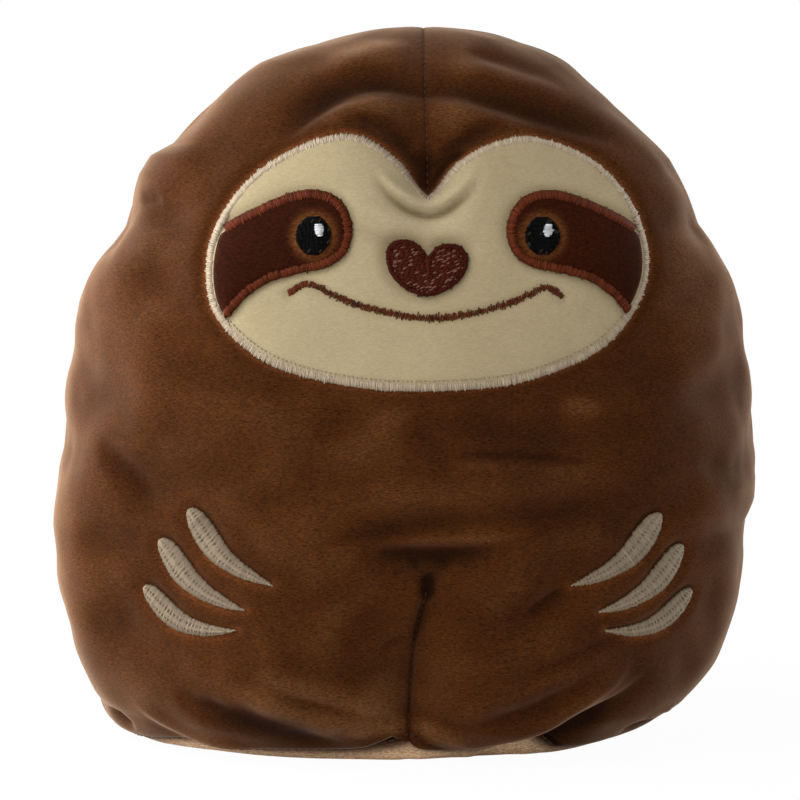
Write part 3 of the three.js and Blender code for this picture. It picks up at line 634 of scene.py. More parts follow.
def body_normals(points):
    """The smooth body's outward directions at its points."""
    x, y, z = np.moveaxis(points, -1, 0)
    z = np.clip(z, 0, BODY_HEIGHT - SLOPE_STEP * 2)
    off = x - lean(z)
    wide = half_width(z, off) + SLOPE_STEP
    deep = half_depth(z, y) + SLOPE_STEP
    up, down = z + SLOPE_STEP, z - SLOPE_STEP
    wide_slope = (half_width(up, off) - half_width(down, off)) / (2 * SLOPE_STEP)
    deep_slope = (half_depth(up, y) - half_depth(down, y)) / (2 * SLOPE_STEP)
    lean_slope = (lean(up) - lean(down)) / (2 * SLOPE_STEP)
    share_x = np.clip(np.abs(off) / wide, 0, 1)
    share_y = np.clip(np.abs(y) / deep, 0, 1)
    out_x = np.sign(off) * share_x ** (PLAN_POWER - 1) / wide
    out_y = np.sign(y) * share_y ** (PLAN_POWER - 1) / deep
    out_z = (-share_x ** PLAN_POWER * wide_slope / wide - share_y ** PLAN_POWER * deep_slope / deep
             - out_x * lean_slope)
    tip = smoothstep(points[..., 2], BODY_HEIGHT - CROWN_TIP, BODY_HEIGHT)[..., None]
    return unit(np.stack([out_x, out_y, out_z], -1)) * (1 - tip) + tip * (0, 0, 1)


# How far along the front's middle line a height lies
upper_heights = BODY_HEIGHT - (BODY_HEIGHT - WIDEST_HEIGHT) * np.linspace(1, 0, UPPER_STEPS)[1:] ** 2
middle_heights = np.concatenate([np.linspace(-REST_CUT, WIDEST_HEIGHT, LOWER_STEPS), upper_heights])
middle_steps = np.hypot(np.diff(middle_heights), np.diff(half_depth(middle_heights, -1)))
middle_reaches = np.concatenate([[0], np.cumsum(middle_steps)])


def reach_of(height):
    return np.interp(height, middle_heights, middle_reaches)


def height_of(reach):
    return np.interp(reach, middle_reaches, middle_heights)


def blended(first, last, start, end, at):
    return first + (last - first) * (at - start) / (end - start)


def smooth_line(points, closed=False):
    """A smooth line through points; where it isn't closed its ends stay where they are."""
    points = np.array(points, float)
    if closed:
        knots = np.concatenate([points[-1:], points, points[:2]])
    else:
        knots = np.concatenate([2 * points[:1] - points[1:2], points, 2 * points[-1:] - points[-2:-1]])
    spans = []
    for start in range(len(knots) - 3):
        p = knots[start:start + 4]
        t = np.concatenate([[0], np.cumsum(np.sqrt(np.linalg.norm(np.diff(p, axis=0), axis=1)))])
        at = np.linspace(t[1], t[2], LINE_STEPS, endpoint=False)[:, None]
        first = [blended(p[i], p[i + 1], t[i], t[i + 1], at) for i in range(3)]
        second = [blended(first[i], first[i + 1], t[i], t[i + 2], at) for i in range(2)]
        spans.append(blended(second[0], second[1], t[1], t[2], at))
    line = np.concatenate(spans)
    return line if closed else np.concatenate([line, points[-1:]])


def even_points(line, pitch, closed=False):
    """Points at an even pitch along a line."""
    if closed:
        line = np.concatenate([line, line[:1]])
    run = run_along(line)
    count = max(int(round(run[-1] / pitch)), LEAST_STEPS)
    at = np.linspace(0, run[-1], count, endpoint=False) if closed else np.linspace(0, run[-1], count + 1)
    return np.stack([np.interp(at, run, line[:, axis]) for axis in range(line.shape[1])], -1)


def nearest_on(points, line, closed=False):
    """Each point's distance from a line, its share along the line, and 1 where it lies left of it or -1."""
    starts = line if closed else line[:-1]
    spans = (np.roll(line, -1, axis=0) if closed else line[1:]) - starts
    lengths = np.maximum(np.linalg.norm(spans, axis=1), TINY)
    run = np.concatenate([[0], np.cumsum(lengths)])
    found = []
    for first in range(0, len(points), CHUNK):
        offsets = points[first:first + CHUNK, None] - starts[None]
        along = np.clip((offsets * spans).sum(-1) / lengths ** 2, 0, 1)
        gaps = np.linalg.norm(offsets - along[..., None] * spans, axis=-1)
        pick = np.arange(len(gaps)), gaps.argmin(1)
        span, offset = spans[pick[1]], offsets[pick]
        turn = span[:, 0] * offset[:, 1] - span[:, 1] * offset[:, 0]
        share = (run[pick[1]] + along[pick] * lengths[pick[1]]) / run[-1]
        found.append(np.stack([gaps[pick], share, np.where(turn > 0, 1, -1)]))
    return np.concatenate(found, 1) if found else np.zeros((3, 0))


def is_inside(points, outline):
    """Which points lie inside a closed edge."""
    x, z = points[:, 0], points[:, 1]
    crossings = np.zeros(len(points), int)
    for (x1, z1), (x2, z2) in zip(outline, np.roll(outline, -1, axis=0)):
        spans = (z1 > z) != (z2 > z)
        meets = x1 + (z - z1) * (x2 - x1) / (z2 - z1 if z2 != z1 else 1)
        crossings += spans & (x < meets)
    return crossings % 2 == 1


def depth_inside(points, outline, margin=EDGE_MARGIN):
    """How far inside a closed edge points lie; outside it is negative, and no less than -margin."""
    depth = np.full(len(points), -float(margin))
    low, high = outline.min(0) - margin, outline.max(0) + margin
    near = np.flatnonzero(((points > low) & (points < high)).all(1))
    distance = nearest_on(points[near], outline, closed=True)[0]
    depth[near] = np.where(is_inside(points[near], outline), distance, -np.minimum(distance, margin))
    return depth


def near_edge(places, edge, width):
    """1 on a closed edge, falling off over a width on both sides of it."""
    return falloff(depth_inside(places, edge), width)


def beside(places, edge, width):
    """1 inside a closed edge, falling off over a width outside it."""
    return falloff(np.minimum(depth_inside(places, edge), 0), width)


def within(centre, width, height, shares):
    return np.array(centre) + np.array(shares) * (width, height) / 2


def on_face(shares):
    return within(FACE_CENTRE, FACE_WIDTH, FACE_HEIGHT, shares)


def patch_place(name, shares):
    """A place on one eye's dark patch; the left patch is the right one's mirror image."""
    mirror = (-1, 1) if name == "left" else (1, 1)
    return within(on_face(EYE_PATCH_PLACES[name]), EYE_PATCH_WIDTH, EYE_PATCH_HEIGHT,
                  np.array(shares) * mirror)


def claw_place(claw, shares):
    """Places on a claw, by shares of its length along it from its round end, and out on its bulging side."""
    far, bulge = np.moveaxis(np.array(shares, float), -1, 0)
    turn = math.radians(claw["dip"])
    along = np.array([-claw["side"] * math.cos(turn), -math.sin(turn)])
    out = np.array([claw["side"] * math.sin(turn), -math.cos(turn)])
    bent = bulge + claw["bend"] * 4 * far * (1 - far)
    end = np.array(claw["end"]) * (BODY_HALF_WIDTH, BODY_HEIGHT)
    return end + claw["length"] * (far[..., None] * along + bent[..., None] * out)


face_edge = smooth_line([*on_face(FACE_OUTLINE), on_face(FACE_OUTLINE[0])])[:-1]
face_notch = on_face(FACE_OUTLINE[0])
patch_edges = {name: smooth_line(patch_place(name, EYE_PATCH_OUTLINE), closed=True)
               for name in EYE_PATCH_PLACES}
nose_points = within(on_face(NOSE_PLACE), NOSE_WIDTH, NOSE_HEIGHT, NOSE_OUTLINE)
nose_edge = smooth_line([*nose_points, nose_points[0]])[:-1]
mouth_line = smooth_line(within(on_face(MOUTH_PLACE), MOUTH_WIDTH, MOUTH_HEIGHT, MOUTH_LINE))
claw_bulges = {name: smooth_line(claw_place(claw, CLAW_BULGE)) for name, claw in CLAWS.items()}
claw_hollows = {name: smooth_line(claw_place(claw, CLAW_HOLLOW)) for name, claw in CLAWS.items()}
claw_edges = {name: np.concatenate([claw_bulges[name][:-1], claw_hollows[name][:0:-1]]) for name in CLAWS}

# The line of the two darts, from the hem up to the crown
DART_LINE = [(0, 0), (15, -0.3), (25, 0.2), (35, 0.7), (45, 1.9), (54, 3.9), (BELLY_DART_HEIGHT, 6),
             (face_notch[1], face_notch[0]), (BODY_HEIGHT, CROWN_LEAN)]


def dart_x(height):
    return line_value(height, DART_LINE)


def sewn_form(x, y, z):
    """How far the darts, the back seam and the thighs move the smooth body's surface."""
    fade = smoothstep(z, 0, BACK_CREASE_FADE) * smoothstep(BODY_HEIGHT - z, 0, BACK_CREASE_FADE)
    back = -BACK_CREASE_DEPTH * falloff(x, BACK_CREASE_HALF_WIDTH) * fade
    above = np.clip((BODY_HEIGHT - z) / (BODY_HEIGHT - face_notch[1]), 0, 1)
    below = falloff(np.maximum(face_notch[1] - z, 0), NOTCH_CREASE_REACH)
    notch = -NOTCH_CREASE_DEPTH * above * below * falloff(x - dart_x(np.maximum(z, face_notch[1])),
                                                         NOTCH_CREASE_HALF_WIDTH)
    low = smoothstep(-z, -BELLY_DART_HEIGHT - BELLY_CREASE_HALF_WIDTH, -BELLY_DART_HEIGHT / 2)
    belly = -BELLY_CREASE_DEPTH * low * falloff(x - dart_x(np.minimum(z, BELLY_DART_HEIGHT)),
                                                BELLY_CREASE_HALF_WIDTH)
    aside = np.abs(x - dart_x(THIGH_HEIGHT)) - THIGH_SPACING / 2
    thigh = THIGH_SWELL * falloff(np.hypot(aside, z - THIGH_HEIGHT), THIGH_RADIUS)
    forward = smoothstep(-y, 0, FRONT_DEPTH / 2)
    above_hem = smoothstep(z, HEM_HEIGHT, HEM_HEIGHT + HEM_FADE)
    return np.where(y > 0, back, (notch + belly + thigh) * forward * above_hem)


def side_swells(x, z):
    """The small bumps that show along both sides."""
    off = x - lean(z)
    share = np.abs(off) / (half_width(z, off) + SLOPE_STEP)
    swell = np.where(off < 0, line_value(z, LEFT_SWELLS), line_value(z, RIGHT_SWELLS))
    return swell * smoothstep(share, SWELL_START, 1)


def waves(count, shortest, longest, rise):
    """Random long bumps, as directions, phases and sizes of plane waves."""
    turns = unit(chance.normal(size=(count, 3)))
    lengths = chance.uniform(shortest, longest, count)
    sizes = lengths / np.sqrt((lengths ** 2).sum() / 2) * rise
    return turns * (2 * math.pi / lengths)[:, None], chance.uniform(0, 2 * math.pi, count), sizes


stuffing_lumps = waves(*LUMPS)
cloth_ripples = waves(*RIPPLES)
fibre_tufts = waves(*TUFTS)


def wave_height(points, bumps):
    turns, phases, sizes = bumps
    return np.sin(points @ turns.T + phases) @ sizes


def fold_sums(x, z, folds):
    """The folds' rise and their painted shading at places on one side of the body."""
    places = np.stack([x, reach_of(z)], -1)
    totals = np.zeros((2, len(places)))
    for rise, above, below, shade, points in folds:
        line = smooth_line(points)
        line[:, 1] = reach_of(line[:, 1])
        margin = FOLD_MARGIN * max(above, below)
        low, high = line.min(0) - margin, line.max(0) + margin
        near = np.flatnonzero(((places > low) & (places < high)).all(1))
        distance, share, side = nearest_on(places[near], line)
        ends = smoothstep(share, 0, FOLD_END_SHARE) * smoothstep(1 - share, 0, FOLD_END_SHARE)
        width = np.where(side > 0, above, below) * (FOLD_END_WIDTH + (1 - FOLD_END_WIDTH) * ends)
        for total, size in zip(totals, (rise, shade)):
            total[near] += size * falloff(distance, width) * ends
    return totals


def seam_distances(x, y, z):
    """How far places are from each seam, how deep its cloth rolls in, and the share of it that is there."""
    hem = np.where(y <= 0, line_value(x, HEM_LINE), HEM_HEIGHT)
    crown = smoothstep(z, face_notch[1] - SEAM_ROLL, face_notch[1] + SEAM_ROLL)
    belly = smoothstep(-z, -BELLY_DART_HEIGHT, -BELLY_DART_HEIGHT + DART_FADE)
    return [(np.abs(y), SEAM_DEPTH, np.ones(len(x))),
            (np.abs(reach_of(z) - reach_of(hem)), HEM_DEPTH, np.ones(len(x))),
            (np.abs(x - dart_x(z)), SEAM_DEPTH, np.where(y <= 0, crown * CROWN_SEAM_SHARE + belly, 0)),
            (np.abs(x - lean(z)), SEAM_DEPTH, np.where(y > 0, 1, 0))]


def seam_height(x, y, z):
    """How far the cloth rolls in towards the seams and darts, with the puckers along the darts."""
    seams = seam_distances(x, y, z)
    roll = np.max([depth * np.exp(-distance / SEAM_ROLL) * share for distance, depth, share in seams], axis=0)
    from_dart, _, dart_share = seams[2]
    reach = reach_of(z)
    turns = (reach + PUCKER_SLANT * from_dart) / PUCKER_PITCH
    ripple = np.sin(2 * math.pi * turns + PUCKER_WANDER * np.sin(reach / PUCKER_DRIFT))
    return -roll + PUCKER_DEPTH * ripple * falloff(from_dart, PUCKER_REACH) * dart_share


def painted_shading(points):
    """Painted shading at the smooth body's points: painted shade on the pile below 0, painted light above 0.
    """
    x, y, z = points.reshape(-1, 3).T
    places = np.stack([x, z], -1)
    front = fold_sums(x, z, FOLDS)[1] * smoothstep(-y, 0, FRONT_FADE)
    back = fold_sums(x, z, BACK_FOLDS)[1] * smoothstep(y, 0, FRONT_FADE)
    # Painted shade in the seams' grooves, painted shade and light from the simulated wrinkles, and painted
    # shade at the claws' round ends
    seams = np.max([falloff(distance, SEAM_SHADE_WIDTH) * share
                    for distance, _, share in seam_distances(x, y, z)], axis=0)
    wrinkles = np.clip(cloth_value(cloth_wrinkles, x, y, z) * WRINKLE_SHADE, -WRINKLE_LIMIT, WRINKLE_LIMIT)
    claws = np.max([near_edge(places, edge, CLAW_SHADE_WIDTH)
                    * (nearest_on(places, claw_bulges[name])[1] < CLAW_SHADE_END)
                    for name, edge in claw_edges.items()], axis=0)
    total = front + back - seams + wrinkles - CLAW_SHADE * claws * (y < 0)
    return np.clip(total, DARKEST_PAINTED_SHADE, LIGHTEST_PAINTED_LIGHT).reshape(points.shape[:-1])


def stitch_dents(x, z):
    """How far the front is drawn in along the face's edge and the claws' edges."""
    places = np.stack([x, z], -1)
    total = -STITCH_DENT * near_edge(places, face_edge, STITCH_DENT_WIDTH)
    for edge in claw_edges.values():
        total -= CLAW_DENT * near_edge(places, edge, CLAW_DENT_WIDTH)
    return total


def relief(points):
    """How far the cloth stands out from the smooth body's points."""
    shape = points.shape[:-1]
    points = points.reshape(-1, 3)
    x, y, z = points.T
    total = sewn_form(x, y, z) + side_swells(x, z) + seam_height(x, y, z)
    total += cloth_value(cloth_push, x, y, z) * smoothstep(BODY_HEIGHT - z, 0, CROWN_FADE)
    in_face = depth_inside(np.stack([x, z], -1), face_edge, FACE_SWELL_REACH)
    total += FACE_SWELL * smoothstep(in_face, -FACE_SWELL_REACH, 0) * (y < 0)
    total += wave_height(points, stuffing_lumps) + wave_height(points, cloth_ripples)
    front = fold_sums(x, z, FOLDS)[0] + stitch_dents(x, z)
    back = fold_sums(x, z, BACK_FOLDS)[0]
    total = total + front * smoothstep(-y, 0, FRONT_FADE) + back * smoothstep(y, 0, FRONT_FADE)
    return total.reshape(shape)


def on_body(points, lift):
    """The smooth body's points moved out to the cloth's face and a lift beyond it, kept above the floor."""
    moved = points + body_normals(points) * (relief(points) + lift)[..., None]
    moved[..., 2] = np.maximum(moved[..., 2], 0)
    return moved


def on_front(places, lift):
    """Points at places across the front and up it, with a lift that keeps them over the same places."""
    places = np.asarray(places, float)
    below = places - front_normals(places)[..., [0, 2]] * lift[..., None]
    return on_body(front_points(below[..., 0], below[..., 1]), lift)


def front_normals(places):
    return body_normals(front_points(places[..., 0], places[..., 1]))


# Meshes

def linked(name, data):
    """A new object of some data, in the scene."""
    made = bpy.data.objects.new(name, data)
    bpy.context.scene.collection.objects.link(made)
    return made


def new_object(name, points, faces, tones=None, painted_shadings=None):
    """An object with a smooth mesh of points in millimetres, and one tone and one painted shading for each
    point.
    """
    mesh = bpy.data.meshes.new(name)
    mesh.from_pydata((np.asarray(points, float) * METRES).tolist(), [], faces)
    mesh.polygons.foreach_set("use_smooth", [True] * len(mesh.polygons))
    for title, values in (("tone", tones), ("painted_shading", painted_shadings)):
        if values is not None:
            attribute = mesh.attributes.new(title, "FLOAT", "POINT")
            attribute.data.foreach_set("value", np.asarray(values, np.float32))
    mesh.update()
    return linked(name, mesh)


def mesh_points(mesh):
    """A mesh's points in millimetres."""
    return np.array([vertex.co for vertex in mesh.vertices]) / METRES


def grid_faces(rows, columns, first=0, around=False):
    """Four-sided faces between neighbouring rows and columns of points."""
    along = np.arange(columns if around else columns - 1)
    row, column = np.meshgrid(np.arange(rows - 1), along, indexing="ij")
    after = (column + 1) % columns
    corners = [row * columns + column, row * columns + after, (row + 1) * columns + after,
               (row + 1) * columns + column]
    return (np.stack([corner.ravel() for corner in corners], -1) + first).tolist()


def welded(points, faces, *values):
    """The same mesh with points that lie at one place joined, and the faces that this flattens left out."""
    keys = np.round(np.asarray(points) / WELD).astype(np.int64)
    _, kept, joined = np.unique(keys, axis=0, return_index=True, return_inverse=True)
    joined = joined.ravel()
    new_faces = []
    for face in faces:
        corners = [int(joined[corner]) for corner in face]
        corners = [corner for place, corner in enumerate(corners) if corner != corners[place - 1]]
        if len(corners) > 2:
            new_faces.append(corners)
    return np.asarray(points)[kept], new_faces, *[np.asarray(each)[kept] for each in values]


def shell(name, outer, inner, tones, painted_shadings, around=False):
    """A closed shell between an outer and an inner grid of points, whose last rows each meet in one point."""
    rows, columns = outer.shape[:2]
    count = rows * columns
    points = np.concatenate([outer.reshape(-1, 3), inner.reshape(-1, 3)])
    faces = grid_faces(rows, columns, 0, around)
    faces += [face[::-1] for face in grid_faces(rows, columns, count, around)]
    rim = [(column, (column + 1) % columns) for column in range(columns if around else columns - 1)]
    faces += [[after, before, before + count, after + count] for before, after in rim]
    if not around:
        for row in range(rows - 1):
            left, left_up = row * columns, (row + 1) * columns
            right, right_up = left + columns - 1, left_up + columns - 1
            faces.append([left, left_up, left_up + count, left + count])
            faces.append([right_up, right, right + count, right_up + count])
    both = [np.concatenate([values.ravel(), values.ravel()]) for values in (tones, painted_shadings)]
    return new_object(name, *welded(points, faces, *both))


def even_shares(count, crowding):
    """Shares across the front that are evenly spaced round it, but closer where the darts run."""
    angles = np.linspace(math.pi, 0, PLAN_STEPS)
    across = np.sign(np.cos(angles)) * np.abs(np.cos(angles)) ** (2 / PLAN_POWER)
    deep = np.abs(np.sin(angles)) ** (2 / PLAN_POWER)
    steps = np.hypot(np.diff(across) * BODY_HALF_WIDTH, np.diff(deep) * FRONT_DEPTH)
    middle = (across[1:] + across[:-1]) / 2
    run = np.concatenate([[0], np.cumsum(
        steps * (1 + crowding * falloff(middle - DART_SHARE, DART_CROWDING_SHARE)))])
    return np.interp(np.linspace(0, run[-1], count), run, across)


def held_share(points):
    """How firmly the cloth is held at the smooth body's points: by its seams, its base and its backing."""
    x, y, z = points.T
    places = np.stack([x, z], -1)
    front = y < 0
    on_dart = front & ((z > face_notch[1]) | (z < BELLY_DART_HEIGHT))
    seams = np.min([np.abs(y), np.where(on_dart, np.abs(x - dart_x(z)), FREE_DISTANCE),
                    np.where(front, FREE_DISTANCE, np.abs(x - lean(z)))], axis=0)
    held = falloff(seams, HELD_REACH)
    held = np.maximum(held, smoothstep(-z, -HEM_HEIGHT - HELD_REACH, -HEM_HEIGHT))
    for edge in [face_edge, *claw_edges.values()]:
        held = np.maximum(held, np.where(front, beside(places, edge, HELD_REACH), 0))
    return held


def cage_grid():
    """Shares across the body, and a grid of the smooth body's points all round it."""
    across = even_shares(CAGE_COLUMNS, 0)
    reach = np.linspace(reach_of(CAGE_FLOOR), reach_of(BODY_HEIGHT), CAGE_ROWS)
    heights = height_of(reach)[:, None] + 0 * across
    front, back = (body_points(across + 0 * heights, is_front, heights) for is_front in (True, False))
    return across, np.concatenate([front, back[:, ::-1][:, 1:-1]], 1)


def sewn_cage(grid):
    """An evenly meshed object with the sewn body's form."""
    flat = grid.reshape(-1, 3)
    formed = flat + body_normals(flat) * sewn_form(*flat.T)[:, None]
    formed = np.concatenate([[[0, 0, CAGE_FLOOR]] * grid.shape[1], formed])
    faces = grid_faces(CAGE_ROWS + 1, grid.shape[1], around=True)
    rough = new_object("rough_cage", *welded(formed, faces))
    remesh = rough.modifiers.new("even", "REMESH")
    remesh.mode = "VOXEL"
    remesh.voxel_size = CAGE_PITCH * METRES
    mesh = bpy.data.meshes.new_from_object(rough.evaluated_get(bpy.context.evaluated_depsgraph_get()))
    bpy.data.objects.remove(rough)
    return linked("cage", mesh)


def inflated(cage):
    """Where pressure pushes a cage's points, with its cloth held as the toy's is."""
    held = cage.vertex_groups.new(name="held")
    for number, share in enumerate(held_share(mesh_points(cage.data))):
        held.add([number], float(share), "REPLACE")
    cloth = cage.modifiers.new("cloth", "CLOTH")
    cloth.point_cache.frame_end = CLOTH_FRAMES
    settings = cloth.settings
    settings.quality = CLOTH_QUALITY
    settings.vertex_group_mass = "held"
    settings.use_pressure = True
    settings.uniform_pressure_force = STUFFING_PRESSURE
    settings.shrink_min = -CLOTH_EASE
    settings.tension_stiffness = settings.compression_stiffness = CLOTH_STIFFNESS
    settings.shear_stiffness = CLOTH_STIFFNESS / 2
    settings.bending_stiffness = CLOTH_BENDING
    settings.effector_weights.gravity = 0
    for number in range(1, CLOTH_FRAMES + 1):
        bpy.context.scene.frame_set(number)
    moved = mesh_points(cage.evaluated_get(bpy.context.evaluated_depsgraph_get()).data)
    bpy.context.scene.frame_set(1)
    return moved


def simulated_cloth():
    """How far stuffing pushes the sewn cloth out at points round the body: a grid of columns and heights."""
    across, grid = cage_grid()
    cage = sewn_cage(grid)
    start = mesh_points(cage.data)
    push = ((inflated(cage) - start) * body_normals(start)).sum(-1)
    push = np.clip(push, PUSH_LOWEST, PUSH_HIGHEST)
    bpy.data.objects.remove(cage)
    tree = kdtree.KDTree(len(start))
    for number, point in enumerate(start):
        tree.insert(point, number)
    tree.balance()
    near = [tree.find_n(point, CAGE_NEIGHBOURS) for point in grid.reshape(-1, 3)]
    numbers, distances = (np.array([[each[part] for each in found] for found in near]) for part in (1, 2))
    blurs = []
    for reach in (PUSH_BLUR, WRINKLE_BLUR):
        weights = falloff(distances, reach)
        blurs.append(((push[numbers] * weights).sum(1) / weights.sum(1)).reshape(CAGE_ROWS, -1))
    return across, blurs[0], blurs[0] - blurs[1]


cloth_across, cloth_push, cloth_wrinkles = simulated_cloth()


def spline_weights(share):
    """Four neighbours' weights in a smooth blend, at a share of the way between the middle two."""
    return (1 - share) ** 3 / 6, (3 * share ** 3 - 6 * share ** 2 + 4) / 6, (
        -3 * share ** 3 + 3 * share ** 2 + 3 * share + 1) / 6, share ** 3 / 6


def cloth_value(grid, x, y, z):
    """A value of the simulated cloth's grid at the smooth body's points."""
    off = x - lean(z)
    share = off / (half_width(z, off) + SLOPE_STEP)
    column = np.interp(share, cloth_across, np.arange(CAGE_COLUMNS))
    column = np.where(y <= 0, column, 2 * (CAGE_COLUMNS - 1) - column)
    low, high = reach_of(CAGE_FLOOR), reach_of(BODY_HEIGHT)
    row = (reach_of(z) - low) / (high - low) * (CAGE_ROWS - 1)
    first_row, first_column = np.floor(row), np.floor(column)
    total = np.zeros(len(x))
    for down, row_weight in enumerate(spline_weights(row - first_row)):
        rows = np.clip(first_row + down - 1, 0, CAGE_ROWS - 1).astype(int)
        for along, column_weight in enumerate(spline_weights(column - first_column)):
            columns = ((first_column + along - 1) % grid.shape[1]).astype(int)
            total += row_weight * column_weight * grid[rows, columns]
    return total


def warped(across, heights):
    """Shares across the front with the columns at the darts' share moved onto the darts."""
    heights = np.minimum(heights, BODY_HEIGHT - CROWN_TIP)
    dart = (dart_x(heights) - lean(heights)) / half_width(heights, 1)
    return across + (dart - DART_SHARE) * falloff(across - DART_SHARE, DART_WARP_SHARE)


def hem_height(across, front):
    """The hem's height at shares across the front or the back."""
    if front:
        return line_value(across * half_width(HEM_HEIGHT, across), HEM_LINE)
    return HEM_HEIGHT + 0 * across


def panel_points(across, rows, front):
    """A grid of the smooth body's points from the hem up to the crown."""
    low = reach_of(hem_height(across, front))
    share = np.linspace(0, 1, rows)[:, None]
    heights = height_of(low + share * (reach_of(BODY_HEIGHT) - low))
    shares = np.broadcast_to(across, heights.shape)
    return body_points(warped(shares, heights) if front else shares, front, heights)


def warmth(points):
    """How warm the brown pile looks: it glows beside the embroidery and is plain elsewhere."""
    x, y, z = points.reshape(-1, 3).T
    places = np.stack([x, z], -1)
    warm = np.zeros(len(places))
    for name, edge in claw_edges.items():
        outside = smoothstep(-depth_inside(places, edge), -CLAW_WARMTH_WIDTH, 0)
        distance = nearest_on(places, claw_bulges[name])[0]
        warm = np.maximum(warm, falloff(distance, CLAW_WARMTH_WIDTH) * outside * CLAW_WARMTH)
    warm = np.maximum(warm, beside(places, face_edge, FACE_WARMTH_WIDTH) * FACE_WARMTH)
    return (warm * (y < 0)).reshape(points.shape[:-1])


def panel(name, across, rows, front):
    """A panel of velour over the front or a half of the back."""
    points = panel_points(across, rows, front)
    tones = warmth(points) if front else np.zeros(points.shape[:-1])
    return shell(name, on_body(points, 0), on_body(points, -PILE_CLOTH), tones, painted_shading(points))


def base_points(across, front):
    """A grid of the smooth body's points from the hem down and in to the middle of the underside."""
    hem = hem_height(across, front)
    drop = np.linspace(1, 0, BASE_DROP_ROWS)[:, None] * hem
    wall = body_points(np.broadcast_to(across, drop.shape), front, drop)
    share = np.linspace(1, 0, BASE_FLOOR_ROWS)[1:, None, None]
    return wall, wall[-1][None] * share


def base(name):
    """The base: a wall from the hem down to the floor, and an underside with slight hollows."""
    across = even_shares(BASE_COLUMNS, 0)
    halves = [base_points(across, True), base_points(across[::-1][1:-1], False)]
    wall, floor = (np.concatenate([half[part] for half in halves], 1) for part in (0, 1))
    hollow = np.maximum(wave_height(floor.reshape(-1, 3), stuffing_lumps), 0).reshape(floor.shape[:-1])
    hollow *= smoothstep(np.arange(1, BASE_FLOOR_ROWS)[:, None], 0, BASE_FLOOR_ROWS / 2)
    drop = np.linspace(0, 1, BASE_DROP_ROWS)[:, None]
    settle = drop ** 2
    inwards = np.linspace(1, 0, BASE_FLOOR_ROWS)[1:, None, None]
    grids = []
    for lift in (0, -PILE_CLOTH):
        rim = on_body(wall, lift - HEM_TUCK * (1 - settle) ** 2)
        rim[..., 2] = rim[..., 2] * (1 - settle) - lift * settle
        flat = floor.copy()
        flat[..., 2] = hollow - lift
        flat[..., :2] += (rim[-1] - wall[-1])[None, :, :2] * inwards
        grids.append(np.concatenate([rim, flat]))
    # Painted bounce light pales the wall in front towards the floor, and painted shade darkens it under the
    # hem
    down = drop + 0 * wall[..., 0]
    forward = smoothstep(-wall[..., 1], FRONT_FADE, BASE_PAINTED_LIGHT_DEPTH)
    plain = np.zeros(floor.shape[:-1])
    tones = np.concatenate([-smoothstep(down, BASE_PAINTED_LIGHT_START, BASE_PAINTED_LIGHT_FULL) * forward, plain])
    painted_shadings = np.concatenate([smoothstep(down, 0, BASE_SHADE_SHARE) - 1, plain])
    return shell(name, *grids, tones, painted_shadings, around=True)


def stuffing(name):
    """The stuffing under the cloth, as a closed lumpy form of fibres."""
    across = even_shares(STUFFING_COLUMNS, 0)
    depth = PILE_CLOTH + STUFFING_GAP
    reach = np.linspace(reach_of(REST_CUT), reach_of(BODY_HEIGHT), STUFFING_ROWS)[:, None]
    heights = height_of(reach + 0 * across)
    front = body_points(across + 0 * heights, True, heights)
    back = body_points(across[::-1][1:-1] + 0 * heights[:, 1:-1], False, heights[:, 1:-1])
    body = np.concatenate([front, back], 1)
    tufts = np.abs(wave_height(body.reshape(-1, 3), fibre_tufts)).reshape(body.shape[:-1])
    walls = on_body(body, -depth - tufts * FIBRE_LOFT)
    walls[..., 2] = np.maximum(walls[..., 2], depth)
    grid = np.concatenate([np.broadcast_to([0.0, 0.0, depth], walls[:1].shape), walls])
    faces = grid_faces(*grid.shape[:2], around=True)
    points, faces, tones = welded(grid.reshape(-1, 3), faces, np.zeros(grid.shape[0] * grid.shape[1]))
    return new_object(name, points, faces, tones)


# Sewn-on cloth

def filled(rim, pitch):
    """Places at a pitch inside a closed rim, and the triangles between them and the rim."""
    corner, size = rim.min(0), np.ptp(rim, axis=0)
    counts = np.maximum((size / pitch).astype(int), 2)
    across, up = np.meshgrid(*[np.linspace(0, 1, count + 1) for count in counts], indexing="ij")
    across = across + (np.arange(counts[1] + 1) % 2)[None] / (2 * counts[0])
    spots = corner + np.stack([across.ravel(), up.ravel()], -1) * size
    spots = spots[depth_inside(spots, rim, pitch) > pitch * CLOTH_CLEARANCE_SHARE]
    places = [Vector(place) for place in np.concatenate([rim, spots])]
    made = geometry.delaunay_2d_cdt(places, [], [list(range(len(rim)))], 1, pitch * MEETING_SHARE)
    return np.array([tuple(place) for place in made[0]]), [list(face) for face in made[2]]


def cloth_piece(name, edge, pitch, low, high, tone=None, pile=None):
    """A closed piece of cloth inside an edge; low and high give its two faces' lifts at places."""
    places, faces = filled(even_points(edge, pitch, closed=True), pitch)
    count = len(places)
    points = np.concatenate([on_front(places, lift(places)) for lift in (high, low)])
    sides = [side for face in faces for side in zip(face, face[1:] + face[:1])]
    shared = {(end, start) for start, end in sides}
    faces += [[corner + count for corner in face[::-1]] for face in faces]
    faces += [[end, start, start + count, end + count] for start, end in sides if (start, end) not in shared]
    tones = np.zeros(count) if tone is None else tone(places)
    # The piece's painted shade and painted light: the folds', unless pile gives them
    painted_shadings = fold_sums(*places.T, FOLDS)[1] if pile is None else pile(places)
    return new_object(name, points, faces, np.tile(tones, 2), np.tile(painted_shadings, 2))


# Threads

